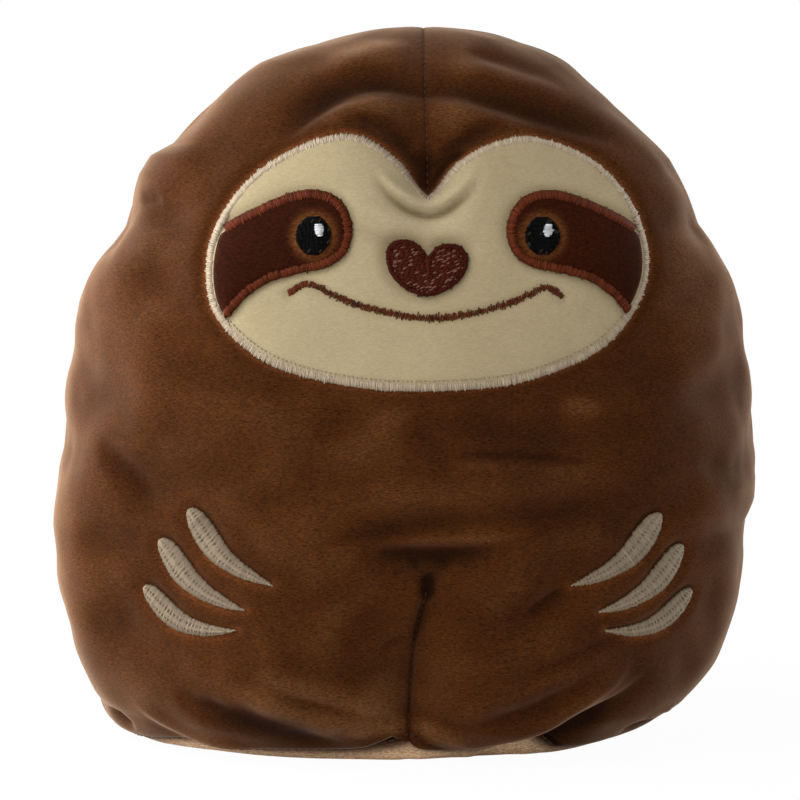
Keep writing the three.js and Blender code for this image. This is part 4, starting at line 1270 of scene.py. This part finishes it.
def tubes(centres, normals, radii):
    """Points and faces of closed threads; centres are threads by rings by places, radii threads by rings."""
    threads, rings = centres.shape[:2]
    along = np.gradient(centres, axis=1)
    aside = unit(np.cross(along, normals))
    up = unit(np.cross(aside, along))
    angles = 2 * math.pi * np.arange(TUBE_SIDES) / TUBE_SIDES
    ring = (np.cos(angles)[:, None] * aside[:, :, None]
            + TUBE_FLATNESS * np.sin(angles)[:, None] * up[:, :, None])
    points = centres[:, :, None] + radii[:, :, None, None] * ring
    tube = np.array(grid_faces(rings, TUBE_SIDES, 0, around=True))[:, ::-1]
    step = rings * TUBE_SIDES
    faces = (tube[None] + step * np.arange(threads)[:, None, None]).reshape(-1, 4).tolist()
    cap = list(range(TUBE_SIDES))
    for thread in range(threads):
        first = thread * step
        faces.append([first + corner for corner in cap])
        faces.append([first + step - 1 - corner for corner in cap])
    return points.reshape(-1, 3), faces


def joined(parts):
    """One mesh's points, faces and tones from several."""
    points, faces, tones = [], [], []
    count = 0
    for part_points, part_faces, part_tones in parts:
        points.append(part_points)
        faces += [[corner + count for corner in face] for face in part_faces]
        tones.append(np.broadcast_to(part_tones, len(part_points)))
        count += len(part_points)
    return np.concatenate(points), faces, np.concatenate(tones)


def arch(share, power=ARCH_POWER):
    return np.sin(math.pi * np.clip(share, 0, 1)) ** power


def satin(starts, ends, foot, crest, radius, ragged=RAGGED, rings=THREAD_RINGS, holes=(), tone=1, painted_glints=0,
          cast=0):
    """Threads laid side by side from starts to ends, each arched over the cloth and sunk in at its ends.
    foot gives the cloth's lift at places, holes are shares of a thread where a needle has pulled it in,
    with painted shade there and at the ends, and a given share of the threads gets a painted glint."""
    count = len(starts)
    along = unit(ends - starts)
    starts, ends = (place + along * chance.normal(0, ragged, (count, 1))
                    + left_of(along) * chance.normal(0, ragged / RAGGED_ASIDE, (count, 1))
                    for place in (starts, ends))
    share = np.linspace(0, 1, rings)
    rise, width = arch(share), arch(share, WIDTH_POWER)
    places = starts[:, None] + (ends - starts)[:, None] * share[None, :, None]
    pulls = np.zeros((count, rings))
    for hole in holes:
        pulls += falloff(share - hole, HOLE_SHARE)[None] * chance.uniform(HOLE_LEAST, 1, (count, 1))
    pulls[::HOLE_EVERY] = 0
    lift = foot(places.reshape(-1, 2)).reshape(count, rings)
    lift = lift + crest * (rise[None] + chance.normal(0, CREST_VARIETY, (count, 1)))
    centres = on_front(places, lift - THREAD_BURY * (1 - rise)[None] - HOLE_DEPTH * pulls)
    radii = radius * (THREAD_END_SHARE + (1 - THREAD_END_SHARE) * width)[None] * (
        1 + chance.normal(0, WIDTH_VARIETY, (count, 1)))
    points, faces = tubes(centres, front_normals(places), radii)
    # Painted shade where a needle has pulled the thread in and at its ends
    shades = chance.normal(cast, tone, (count, 1)) - HOLE_PAINTED_SHADE * pulls - END_PAINTED_SHADE * (1 - width)[None]
    shades[chance.uniform(size=count) < painted_glints] = PAINTED_GLINT_TONE
    return points, faces, np.repeat(shades.ravel(), TUBE_SIDES)


def pad(starts, ends, foot, crest, closed):
    """The low padding under satin threads, which keeps the cloth from showing between them."""
    rise = arch(PAD_SHARES)[None]
    top = starts[:, None] + (ends - starts)[:, None] * PAD_SHARES[None, :, None]
    base = foot(top.reshape(-1, 2)).reshape(top.shape[:2])
    upper = on_front(top, base + crest * PAD_CREST_SHARE * rise - THREAD_BURY * (1 - rise))
    lower = on_front(top, base - PAD_SINK)[:, ::-1]
    loops = np.concatenate([upper, lower], 1)
    corners = loops.shape[1]
    order = np.concatenate([loops, loops[:1]]) if closed else loops
    faces = grid_faces(len(order), corners, 0, around=True)
    if not closed:
        faces += [list(range(corners)), [len(order) * corners - 1 - corner for corner in range(corners)]]
    # The padding's tone is painted shade between the threads
    return welded(order.reshape(-1, 3), faces, np.full(len(order) * corners, PAD_PAINTED_SHADE))


def padded_satin(starts, ends, foot, crest, radius, closed=False, **more):
    return joined([pad(starts, ends, foot, crest, closed), satin(starts, ends, foot, crest, radius, **more)])


def turned_area(edge):
    """The area inside a closed edge, positive where it runs leftwards."""
    ahead = np.roll(edge, -1, axis=0)
    return (edge[:, 0] * ahead[:, 1] - ahead[:, 0] * edge[:, 1]).sum() / 2


def inward(line):
    """Directions to the left of a closed line, each an even blend of its neighbours'."""
    return left_of(unit(np.roll(line, -INWARD_REACH, axis=0) - np.roll(line, INWARD_REACH, axis=0)))


def border(edge, width, pitch, foot, crest, radius, keep=None, **more):
    """A satin border along the inside of a closed edge that runs leftwards round it."""
    line = even_points(edge, pitch, closed=True)
    inner = line + inward(line) * width
    kept = np.ones(len(line), bool) if keep is None else keep(line)
    closed = kept.all()
    if not closed:
        first = np.flatnonzero(kept & ~np.roll(kept, 1))[0]
        line, inner, kept = (np.roll(each, -first, axis=0) for each in (line, inner, kept))
        line, inner = line[kept], inner[kept]
    return padded_satin(line, inner, foot, crest, radius, closed, **more)


def dashes(line, foot):
    """A row of short stitches along a line."""
    pitch = DASH_LENGTH + DASH_GAP
    stations = even_points(line, pitch)
    starts, ends = stations[:-1], stations[1:]
    return satin(starts, starts + (ends - starts) * DASH_LENGTH / pitch, foot, DASH_CREST, DASH_RADIUS,
                 ragged=DASH_RAGGED, rings=SHORT_RINGS, cast=DASH_TONE)


def stacked(edge_low, edge_high, pitch, foot, crest, radius, **more):
    """A fill of threads side by side between two edges that run the same way."""
    low, high = even_points(edge_low, pitch), even_points(edge_high, pitch)
    share = np.linspace(0, 1, max(len(low), len(high)) + 2)[1:-1]
    low, high = (np.stack([np.interp(share, np.linspace(0, 1, len(edge)), edge[:, axis])
                           for axis in (0, 1)], -1) for edge in (low, high))
    return padded_satin(low, high, foot, crest, radius, **more)


def round_fill(centre, width, height, foot, crest, **more):
    """An oval filled with fine level threads."""
    rise = np.linspace(-1, 1, int(height / FINE_PITCH) + 2)[1:-1]
    reach = np.sqrt(1 - rise ** 2) * width / 2
    middle = np.array(centre) + np.stack([0 * rise, rise * height / 2], -1)
    side = np.stack([reach, 0 * reach], -1)
    return padded_satin(middle - side, middle + side, foot, crest, FINE_RADIUS, **more)


def rows_inside(edge, pitch, turn):
    """Straight rows at a pitch inside an edge, turned by an angle in degrees, as start and end places."""
    angle = math.radians(turn)
    spin = np.array([[math.cos(angle), -math.sin(angle)], [math.sin(angle), math.cos(angle)]])
    level_edge = edge @ spin
    rows = []
    for height in np.arange(level_edge[:, 1].min() + pitch / 2, level_edge[:, 1].max(), pitch):
        ahead = np.roll(level_edge, -1, axis=0)
        crosses = (level_edge[:, 1] > height) != (ahead[:, 1] > height)
        low, high = level_edge[crosses], ahead[crosses]
        rise = (height - low[:, 1]) / (high[:, 1] - low[:, 1])
        meets = np.sort(low[:, 0] + (high[:, 0] - low[:, 0]) * rise)
        rows += [(np.array([start, height]) @ spin.T, np.array([end, height]) @ spin.T)
                 for start, end in zip(meets[::2], meets[1::2])]
    return rows


def brick_stitches(rows, length):
    """Rows cut into short stitches that start anywhere in each row."""
    starts, ends = [], []
    for start, end in rows:
        span = np.linalg.norm(end - start)
        cuts = np.arange(-chance.uniform(0, length), span, length)
        for cut in cuts:
            low, high = max(cut, 0), min(cut + length, span)
            if high - low > length * SHORTEST_SHARE:
                starts.append(start + (end - start) * low / span)
                ends.append(start + (end - start) * high / span)
    return np.array(starts), np.array(ends)


def line_stitches(line, pitch, width, ragged, radius, cast):
    """Stitches across a line, slanted a little."""
    stations = even_points(line, pitch)
    ahead = unit(np.gradient(stations, axis=0))
    side = (left_of(ahead) + ahead * MOUTH_SLANT) * width / 2
    return satin(stations - side, stations + side, above(face_lift, MOUTH_LIFT), MOUTH_CREST, radius,
                 ragged=ragged, cast=cast)


# Where the embroidery lies over the cloth

def leftwards(edge):
    """The same closed edge, running leftwards round its inside."""
    return edge if turned_area(edge) > 0 else edge[::-1]


def ellipse(centre, width, height):
    """A closed edge of points."""
    angles = np.linspace(0, 2 * math.pi, OVAL_STEPS, endpoint=False)
    return np.array(centre) + np.stack([np.cos(angles) * width / 2, np.sin(angles) * height / 2], -1)


patch_edges = {name: leftwards(edge) for name, edge in patch_edges.items()}

eye_centres = {name: patch_place(name, place) for name, place in EYE_PLACES.items()}
eye_edges = {name: ellipse(centre, EYE_WIDTH, EYE_HEIGHT) for name, centre in eye_centres.items()}
glint_centres = {name: within(centre, EYE_WIDTH, EYE_HEIGHT, GLINT_PLACE)
                 for name, centre in eye_centres.items()}


def shrunk(edge, distance):
    """A closed edge drawn inwards by a distance."""
    line = even_points(edge, EDGE_PITCH, closed=True)
    return line + inward(line) * distance


def drawn_inside(places, edge, clearance):
    """Places moved until each lies at least a clearance inside an edge."""
    for _ in range(NUDGES):
        depth = depth_inside(places, edge, NUDGE_MARGIN)
        slopes = [depth_inside(places + shift, edge, NUDGE_MARGIN)
                  - depth_inside(places - shift, edge, NUDGE_MARGIN) for shift in NUDGE_STEP * np.eye(2)]
        places = places + unit(np.stack(slopes, -1)) * np.maximum(clearance - depth, 0)[:, None]
    return places


def puff(depth, rise, reach):
    """How far cloth puffs up at depths inside its border."""
    return rise * (1 - np.exp(-np.maximum(depth, 0) / reach))


def face_lift(places):
    """The lift of the face's cloth, which puffs up inside its border and dips beside its embroidery."""
    lift = PATCH_TOP + puff(depth_inside(places, face_edge) - FACE_BORDER, FACE_PUFF, FACE_PUFF_REACH)
    for edge in [*patch_edges.values(), nose_edge]:
        lift -= FACE_DENT * near_edge(places, edge, FACE_DENT_WIDTH)
    return lift - FACE_DENT * falloff(nearest_on(places, mouth_line)[0], FACE_DENT_WIDTH)


def face_painted_shading(places):
    """Painted shading of the face's pile: painted shade and light along its folds, painted shade beside its
    embroidery.
    """
    shades = [near_edge(places, nose_edge, NOSE_SHADE_WIDTH),
              *[near_edge(places, edge, PATCH_SHADE_WIDTH) for edge in patch_edges.values()],
              falloff(nearest_on(places, mouth_line)[0], MOUTH_SHADE_WIDTH)]
    return fold_sums(*places.T, FOLDS)[1] - FACE_SHADE * np.max(shades, axis=0)


def patch_lift(name):
    """The lift of an eye patch's cloth, above the face's."""
    def lift(places):
        depth = depth_inside(places, patch_edges[name]) - EYE_PATCH_BORDER
        dent = EYE_DENT * near_edge(places, eye_edges[name], EYE_DENT_WIDTH)
        return face_lift(places) + EYE_CLOTH + puff(depth, EYE_PUFF, EYE_PUFF_REACH) - dent
    return lift


def above(lift, extra):
    """Lifts over a cloth whose own lifts are given."""
    return lambda places: lift(places) + extra


def level(lift):
    """The same lift everywhere."""
    return lambda places: np.full(len(places), float(lift))


# Materials

def linear(colour):
    """A colour given by its red, green and blue as shown, from 0 to 255."""
    return (*[((value / 255 + 0.055) / 1.055) ** 2.4 if value > 10 else value / 255 / 12.92
              for value in colour], 1)


class Finish:
    """A procedural material and short ways to add its nodes."""

    def __init__(self, name, **settings):
        self.material = bpy.data.materials.new(name)
        self.material.use_nodes = True
        self.tree = self.material.node_tree
        self.shader = self.tree.nodes["Principled BSDF"]
        for socket, value in settings.items():
            self.shader.inputs[socket.replace("_", " ").title().replace("Ior", "IOR")].default_value = value
        self.place = self.add("ShaderNodeTexCoord").outputs["Object"]

    def add(self, kind, inputs=(), **settings):
        node = self.tree.nodes.new(kind)
        for key, value in settings.items():
            setattr(node, key, value)
        for key, value in dict(inputs).items():
            if isinstance(value, bpy.types.NodeSocket):
                self.tree.links.new(value, node.inputs[key])
            else:
                node.inputs[key].default_value = value
        return node

    def noise(self, size, detail, roughness, stretch):
        """Random values whose grains are about a size in millimetres."""
        place = self.add("ShaderNodeMapping", {"Vector": self.place, "Scale": stretch}).outputs[0]
        return self.add("ShaderNodeTexNoise", {
            "Vector": place, "Scale": 1 / (size * METRES), "Detail": detail,
            "Roughness": roughness}).outputs[0]

    def spread(self, value, low, high, to_low=0.0, to_high=1.0):
        return self.add("ShaderNodeMapRange", {
            "Value": value, "From Min": low, "From Max": high, "To Min": to_low,
            "To Max": to_high}).outputs[0]

    def multiplied(self, first, second):
        return self.add("ShaderNodeMath", {0: first, 1: second}, operation="MULTIPLY").outputs[0]

    def mix(self, share, first, second, blend="MIX"):
        node = self.tree.nodes.new("ShaderNodeMix")
        node.data_type = "RGBA"
        node.blend_type = blend
        for socket, value in zip([node.inputs[0], node.inputs[6], node.inputs[7]], [share, first, second]):
            if isinstance(value, bpy.types.NodeSocket):
                self.tree.links.new(value, socket)
            else:
                socket.default_value = value
        return node.outputs[2]

    def shaded(self, colour, shade):
        """A colour made lighter or darker by a factor."""
        grey = self.add("ShaderNodeCombineColor", {"Red": shade, "Green": shade, "Blue": shade}).outputs[0]
        return self.mix(1.0, colour, grey, "MULTIPLY")

    def value(self, title):
        return self.add("ShaderNodeAttribute", attribute_name=title).outputs["Fac"]

    def colour(self, socket):
        self.tree.links.new(socket, self.shader.inputs["Base Color"])

    def bump(self, heights):
        """Raises the surface by values, each with its strength and its depth in millimetres."""
        normal = None
        for value, strength, depth in heights:
            inputs = {"Height": value, "Strength": strength, "Distance": depth * METRES}
            if normal:
                inputs["Normal"] = normal
            normal = self.add("ShaderNodeBump", inputs).outputs[0]
        self.tree.links.new(normal, self.shader.inputs["Normal"])


def velour(name, dark, light, warm, shadow, glow, rim, painted_sheen_share, sheen, sheen_tint, grain_contrast):
    """Short dense pile: soft blotches where it lies in different ways and fine grain, with painted shade
    and light and a painted sheen on its rims.
    """
    finish = Finish(name, roughness=0.9, specular_ior_level=0.06, sheen_weight=sheen,
                    sheen_roughness=SHEEN_ROUGHNESS, sheen_tint=sheen_tint)
    dark, light, warm, shadow, glow, rim = map(linear, (dark, light, warm, shadow, glow, rim))
    blotches = finish.spread(finish.noise(*BLOTCHES), 0.25, 0.75)
    grain = finish.noise(*GRAIN)
    streaks = finish.noise(*STREAKS)
    colour = finish.mix(blotches, dark, light)
    colour = finish.mix(finish.spread(streaks, 0.35, 0.75, 0, 0.45), colour, light)
    colour = finish.mix(finish.spread(finish.value("tone"), 0, 1), colour, warm)
    # Painted bounce light where the tone is below 0; above 0 it is the pile's own warm colour
    colour = finish.mix(finish.spread(finish.value("tone"), 0, -1), colour, linear(BASE_PAINTED_BOUNCE_LIGHT))
    # Painted shade where the painted shading is below 0, and painted light where it is above 0
    colour = finish.mix(finish.spread(finish.value("painted_shading"), 0, DARKEST_PAINTED_SHADE, 0, 0.85), colour, shadow)
    colour = finish.mix(finish.spread(finish.value("painted_shading"), 0, LIGHTEST_PAINTED_LIGHT, 0, 0.5), colour, glow)
    colour = finish.shaded(colour, finish.spread(grain, 0.3, 0.7, 1 - grain_contrast, 1 + grain_contrast))
    # Painted sheen: towards the rim colour where the surface is seen edge-on, more where the painted shading
    # is light
    facing = finish.add("ShaderNodeLayerWeight", {"Blend": 0.5}).outputs["Facing"]
    edge_on = finish.add("ShaderNodeMath", {0: facing, 1: PAINTED_SHEEN_POWER}, operation="POWER").outputs[0]
    lit = finish.spread(finish.value("painted_shading"), -LIGHTEST_PAINTED_LIGHT, LIGHTEST_PAINTED_LIGHT, 0, 2 * painted_sheen_share)
    finish.colour(finish.mix(finish.multiplied(edge_on, lit), colour, rim))
    finish.bump([(streaks, 0.2, STREAK_DEPTH), (grain, 0.5, GRAIN_DEPTH)])
    return finish.material


def thread(name, colour, glint, spread, roughness=0.55, specular=0.2):
    """Shiny embroidery thread, each strand a little lighter or darker than the next, with painted shade
    in needle holes, at thread ends and on padding, and a painted glint on some.
    """
    finish = Finish(name, roughness=roughness, specular_ior_level=specular)
    fine = finish.noise(*STRANDS)
    tone = finish.value("tone")
    shade = finish.multiplied(finish.spread(tone, -4, 2, 1 - 4 * spread, 1 + 2 * spread),
                              finish.spread(fine, 0.3, 0.7, 0.86, 1.12))
    strand = finish.shaded(linear(colour), shade)
    # Painted glint on the threads with the highest tones
    finish.colour(finish.mix(finish.spread(tone, 3, PAINTED_GLINT_TONE), strand, linear(glint)))
    finish.bump([(fine, 0.4, STRAND_DEPTH)])
    return finish.material


def fibre(name, colour, size, depth):
    """Matted fibres in tufts of a size and a depth in millimetres."""
    finish = Finish(name, roughness=0.95, specular_ior_level=0.1, sheen_weight=0.2)
    tufts = finish.noise(size, 5, 0.7, (1, 1, 0.4))
    finish.colour(finish.shaded(linear(colour), finish.spread(tufts, 0.2, 0.8, 0.82, 1.06)))
    finish.bump([(tufts, 0.6, depth)])
    return finish.material


materials = {slot: make(**looks) for make, table in ((velour, VELOURS), (thread, THREADS), (fibre, FIBRES))
             for slot, looks in table.items()}


def placed(piece, slot, *nodes):
    """A finished piece: its material, the frame's solids that it stands for, and the body it moves with."""
    piece.data.materials.append(materials[slot])
    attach(piece, "root")
    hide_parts(*nodes)
    return piece


def thread_piece(name, parts, slot, node):
    """A finished piece of thread, made of one or more runs of stitches."""
    return placed(new_object(name, *joined(parts)), slot, node)


# The body

front = even_shares(FRONT_COLUMNS, DART_CROWDING)
front[np.abs(front - DART_SHARE).argmin()] = DART_SHARE
back = even_shares(2 * BACK_COLUMNS - 1, 0)
middle = BACK_COLUMNS - 1
back[middle] = 0
velour_front = placed(panel("velour_front", front, FRONT_ROWS, True), "pile_brown", "front_panel")
velour_back_left = placed(panel("velour_back_left", back[:middle + 1][::-1], BACK_ROWS, False),
                          "pile_brown", "back_panel_left")
velour_back_right = placed(panel("velour_back_right", back[middle:][::-1], BACK_ROWS, False),
                           "pile_brown", "back_panel_right")
velour_base = placed(base("velour_base"), "pile_brown", "base_panel")
stuffing_fill = placed(stuffing("stuffing_fill"), "stuffing", "stuffing")


# The face

face_inner = shrunk(face_edge, FACE_BORDER * NEAR_BORDER_SHARE)
velour_face = placed(cloth_piece("velour_face", face_inner, CLOTH_PITCH, level(PATCH_LOW), face_lift,
                                 pile=face_painted_shading), "pile_cream", "face_patch")

guide = shrunk(face_edge, FACE_BORDER + DASH_INSET)
falls_below = (guide[:, 1] < DASH_TOP) & (np.roll(guide[:, 1], 1) >= DASH_TOP)
guide = np.roll(guide, -np.flatnonzero(falls_below)[0], 0)
guide = guide[guide[:, 1] < DASH_TOP]
thread_piece("satin_face_border", [
    border(face_edge, FACE_BORDER, SATIN_PITCH, level(FACE_THREAD_LIFT), FACE_CREST, SATIN_RADIUS,
           ragged=BORDER_RAGGED),
    dashes(guide, face_lift)], "thread_cream", "face_border")


def eye_patch(name, lift):
    """One eye's patch of dark cloth, with its border."""
    edge = drawn_inside(even_points(patch_edges[name], PATCH_EDGE_PITCH, closed=True), face_edge, PATCH_TUCK)
    under = shrunk(edge, EYE_PATCH_BORDER * NEAR_BORDER_SHARE)
    patch = placed(
        cloth_piece("velour_eye_patch_" + name, under, CLOTH_PITCH, above(face_lift, CLOTH_GAP), lift,
                    lambda places: EYE_WARMTH * beside(places, eye_edges[name], EYE_WARMTH_WIDTH)),
        "pile_dark", "eye_patch_" + name)
    thread_piece("satin_eye_patch_border_" + name, [border(
        patch_edges[name], EYE_PATCH_BORDER, SATIN_PITCH, above(face_lift, SEWN_LIFT), EYE_PATCH_CREST,
        SATIN_RADIUS, ragged=BORDER_RAGGED,
        keep=lambda line: depth_inside(line, face_edge) > EYE_PATCH_OPEN)],
        "thread_red_brown", "eye_patch_border_" + name)


def eye(name, lift):
    """One embroidered eye with its glint."""
    inner = ellipse(eye_centres[name], EYE_WIDTH - FINE_PITCH * 2, EYE_HEIGHT - FINE_PITCH * 2)
    stitches = brick_stitches(rows_inside(inner, FINE_PITCH, EYE_TURN), EYE_STITCH)
    thread_piece("fill_eye_" + name, [
        round_fill(eye_centres[name], EYE_WIDTH, EYE_HEIGHT, above(lift, EYE_LIFT), EYE_CREST),
        satin(*stitches, above(lift, EYE_TOP_LIFT), EYE_TOP_CREST, FINE_RADIUS, ragged=EYE_TOP_RAGGED,
              rings=SHORT_RINGS, painted_glints=EYE_PAINTED_GLINTS)], "thread_black", "eye_" + name)
    thread_piece("fill_eye_glint_" + name, [
        round_fill(glint_centres[name], GLINT_WIDTH, GLINT_HEIGHT, above(lift, GLINT_LIFT), GLINT_CREST,
                   ragged=GLINT_RAGGED)], "thread_white", "eye_glint_" + name)


for name in EYE_PATCH_PLACES:
    eye_patch(name, patch_lift(name))
    eye(name, patch_lift(name))

nose_inner = shrunk(nose_edge, NOSE_BORDER * NOSE_INSET_SHARE)
nose_stitches = brick_stitches(rows_inside(nose_inner, NOSE_PITCH, NOSE_TURN), NOSE_STITCH)
ground = cloth_piece("nose_ground", nose_inner, CLOTH_PITCH, face_lift, above(face_lift, NOSE_GROUND))
ground_points = mesh_points(ground.data)
ground_faces = [list(face.vertices) for face in ground.data.polygons]
bpy.data.objects.remove(ground)
thread_piece("fill_nose", [
    (ground_points, ground_faces, NOSE_GROUND_PAINTED_SHADE),
    satin(*nose_stitches, above(face_lift, NOSE_GROUND), NOSE_CREST, NOSE_RADIUS, ragged=NOSE_RAGGED,
          rings=SHORT_RINGS, painted_glints=NOSE_PAINTED_GLINTS)], "thread_nose", "nose")
tuck = nose_points[0] + np.linspace(0, 1, TUCK_STITCHES)[:, None] * (0, -TUCK_LENGTH)
tuck_side = np.linspace(TUCK_WIDTH, TUCK_END_WIDTH, TUCK_STITCHES)[:, None] * (0.5, 0)
thread_piece("satin_nose_border", [
    border(nose_edge, NOSE_BORDER, FINE_PITCH, above(face_lift, SEWN_LIFT), NOSE_BORDER_CREST, FINE_RADIUS,
           ragged=BORDER_RAGGED),
    satin(tuck - tuck_side, tuck + tuck_side, above(face_lift, TUCK_LIFT), TUCK_CREST, FINE_RADIUS,
          cast=TUCK_TONE)], "thread_nose_edge", "nose_border")

corner = mouth_line[:, 1].argmax() + 1
thread_piece("satin_mouth", [
    line_stitches(mouth_line[:corner], FINE_PITCH, MOUTH_THREAD_WIDTH, MOUTH_LEFT_RAGGED, FINE_RADIUS, 0),
    line_stitches(mouth_line[corner:], MOUTH_PITCH, MOUTH_THREAD_WIDTH, MOUTH_RAGGED, MOUTH_RADIUS,
                  MOUTH_TONE),
    line_stitches(mouth_line[corner:], MOUTH_PITCH, MOUTH_THREAD_WIDTH / 2, MOUTH_TOP_RAGGED,
                  MOUTH_RADIUS, MOUTH_TOP_TONE)],
    "thread_red_brown", "mouth")


# The claws

for name in CLAWS:
    thread_piece("satin_claw_" + name, [stacked(
        claw_hollows[name], claw_bulges[name], CLAW_PITCH, level(CLAW_LIFT), CLAW_CREST, CLAW_RADIUS,
        rings=CLAW_RINGS, holes=CLAW_HOLES, tone=CLAW_TONE)], "thread_claw", "claw_" + name)


# The stiff backing inside, behind the embroidery

def rounded_rectangle(centre, width, height, corner):
    """A closed edge of points."""
    angles = 2 * math.pi * (np.arange(CORNER_STEPS) + 0.5) / CORNER_STEPS
    across, up = np.cos(angles), np.sin(angles)
    return np.array(centre) + np.stack([np.sign(across) * (width / 2 - corner) + corner * across,
                                        np.sign(up) * (height / 2 - corner) + corner * up], -1)


backings = {"face_backing": rounded_rectangle(
    FACE_CENTRE, FACE_WIDTH + 2 * BACKING_MARGIN, FACE_HEIGHT + 2 * BACKING_MARGIN, FACE_BACKING_CORNER)}
for side in ("left", "right"):
    edges = np.concatenate([edge for name, edge in claw_edges.items() if name.startswith(side)])
    backings["claw_backing_" + side] = rounded_rectangle(
        (edges.min(0) + edges.max(0)) / 2, CLAW_BACKING_SIZE, CLAW_BACKING_SIZE, CLAW_BACKING_CORNER)
for name, edge in backings.items():
    sheet = placed(cloth_piece("felt_" + name, edge, BACKING_PITCH, level(BACKING_LOW), level(BACKING_HIGH)),
                   "backing", name)


# The seams

def seam_stitches(lines):
    """Short stitches along seams; each seam is a row of the smooth body's points."""
    share = np.linspace(0, 1, SHORT_RINGS)
    rise = (arch(share) * SEAM_CREST - SEAM_CREST)[None, :, None]
    parts = []
    for line in lines:
        normals = body_normals(line)
        path = on_body(line, SEAM_LIFT)
        run = run_along(path)
        first = np.arange(0, run[-1] - SEAM_STITCH, SEAM_STITCH)
        at = first[:, None] + np.linspace(SEAM_STITCH_GAP, SEAM_STITCH, SHORT_RINGS)[None]
        centres, ups = (np.stack([np.interp(at, run, grid[:, axis]) for axis in range(3)], -1)
                        for grid in (path, normals))
        points, faces = tubes(centres + ups * rise, ups, np.full(at.shape, SEAM_RADIUS))
        tones = np.repeat(chance.normal(0, 1, len(first)), SHORT_RINGS * TUBE_SIDES)
        parts.append((points, faces, tones))
    return parts


low, high = reach_of(HEM_HEIGHT), reach_of(BODY_HEIGHT) - SEAM_CROWN_CLEARANCE
climb = height_of(np.linspace(low, high, SEAM_POINTS))
crown = climb[climb > face_notch[1]]
belly = np.linspace(line_value(0, HEM_LINE) + SEAM_HEM_CLEARANCE, BELLY_DART_HEIGHT, BELLY_SEAM_POINTS)
hem_across = even_shares(HEM_SEAM_POINTS, 0)
seams = {
    "side_seam_thread": [body_points(side + 0 * climb, True, climb) for side in (-1, 1)],
    "back_seam_thread": [body_points(0 * climb, False, climb)],
    "crown_dart_thread": [front_points(dart_x(crown), crown)],
    "belly_dart_thread": [front_points(dart_x(belly), belly)],
    "base_seam_thread": [body_points(hem_across, True, hem_height(hem_across, True)),
                         body_points(hem_across[::-1], False, hem_height(hem_across, False))]}
for name, lines in seams.items():
    thread_piece("stitches_" + name, seam_stitches(lines), "sewing_thread", name)


# Camera, light and floor

def aimed(thing, place, target):
    """An object of a camera or lamp at a place, turned to look at a target; both are in metres."""
    made = linked(thing.name, thing)
    made.location = place
    made.rotation_euler = (Vector(target) - Vector(place)).to_track_quat("-Z", "Y").to_euler()
    return made


def seen_rays(tree):
    """1 for the rays that the camera, gloss and glass send out and 0 for those that only carry light."""
    rays = tree.nodes.new("ShaderNodeLightPath").outputs
    seen = rays["Is Camera Ray"]
    for kind in ("Is Glossy Ray", "Is Transmission Ray"):
        either = tree.nodes.new("ShaderNodeMath")
        either.operation = "MAXIMUM"
        tree.links.new(seen, either.inputs[0])
        tree.links.new(rays[kind], either.inputs[1])
        seen = either.outputs[0]
    return seen


def plain_ground(name, colour, shown):
    """A pale floor that the camera sees as white, with the object's shadow kept faint."""
    finish = Finish(name, roughness=0.9, base_color=colour)
    distance = finish.add("ShaderNodeVectorMath", {0: finish.place}, operation="LENGTH").outputs["Value"]
    white = finish.spread(distance, SHADOW_REACH / 2, SHADOW_REACH, shown, 1.0)
    seen = finish.add("ShaderNodeMath", {0: seen_rays(finish.tree), 1: white}, operation="MULTIPLY")
    glow = finish.add("ShaderNodeEmission", {"Color": WHITE, "Strength": 1.0})
    mixed = finish.add("ShaderNodeMixShader", {0: seen.outputs[0]})
    finish.tree.links.new(finish.shader.outputs[0], mixed.inputs[1])
    finish.tree.links.new(glow.outputs[0], mixed.inputs[2])
    finish.tree.links.new(mixed.outputs[0], finish.tree.nodes["Material Output"].inputs["Surface"])
    return finish.material


camera = bpy.data.cameras.new("camera")
camera.lens = CAMERA_LENS
camera.sensor_width = CAMERA_SENSOR
bpy.context.scene.camera = aimed(camera, CAMERA_PLACE, CAMERA_TARGET)
bpy.context.scene.view_settings.view_transform = "Standard"

for name, (place, size, power) in LAMPS.items():
    lamp = bpy.data.lights.new(name, "AREA")
    lamp.size = size
    lamp.energy = power
    aimed(lamp, place, BODY_MIDDLE)

half = FLOOR_SIZE / 2
floor_mesh = bpy.data.meshes.new("floor")
floor_mesh.from_pydata([(-half, -half, 0), (half, -half, 0), (half, half, 0), (-half, half, 0)], [],
                       [(0, 1, 2, 3)])
floor_mesh.materials.append(plain_ground("pale floor", linear(FLOOR_COLOUR), FLOOR_WHITE))
floor = linked("floor", floor_mesh)

world = bpy.data.worlds.new("studio")
world.use_nodes = True
bpy.context.scene.world = world
nodes, links = world.node_tree.nodes, world.node_tree.links
light = nodes["Background"]
backdrop = nodes.new("ShaderNodeBackground")
for source, strength in ((light, ROOM_LIGHT), (backdrop, 1)):
    source.inputs["Color"].default_value = WHITE
    source.inputs["Strength"].default_value = strength
choice = nodes.new("ShaderNodeMixShader")
links.new(seen_rays(world.node_tree), choice.inputs[0])
links.new(light.outputs[0], choice.inputs[1])
links.new(backdrop.outputs[0], choice.inputs[2])
links.new(choice.outputs[0], nodes["World Output"].inputs["Surface"])
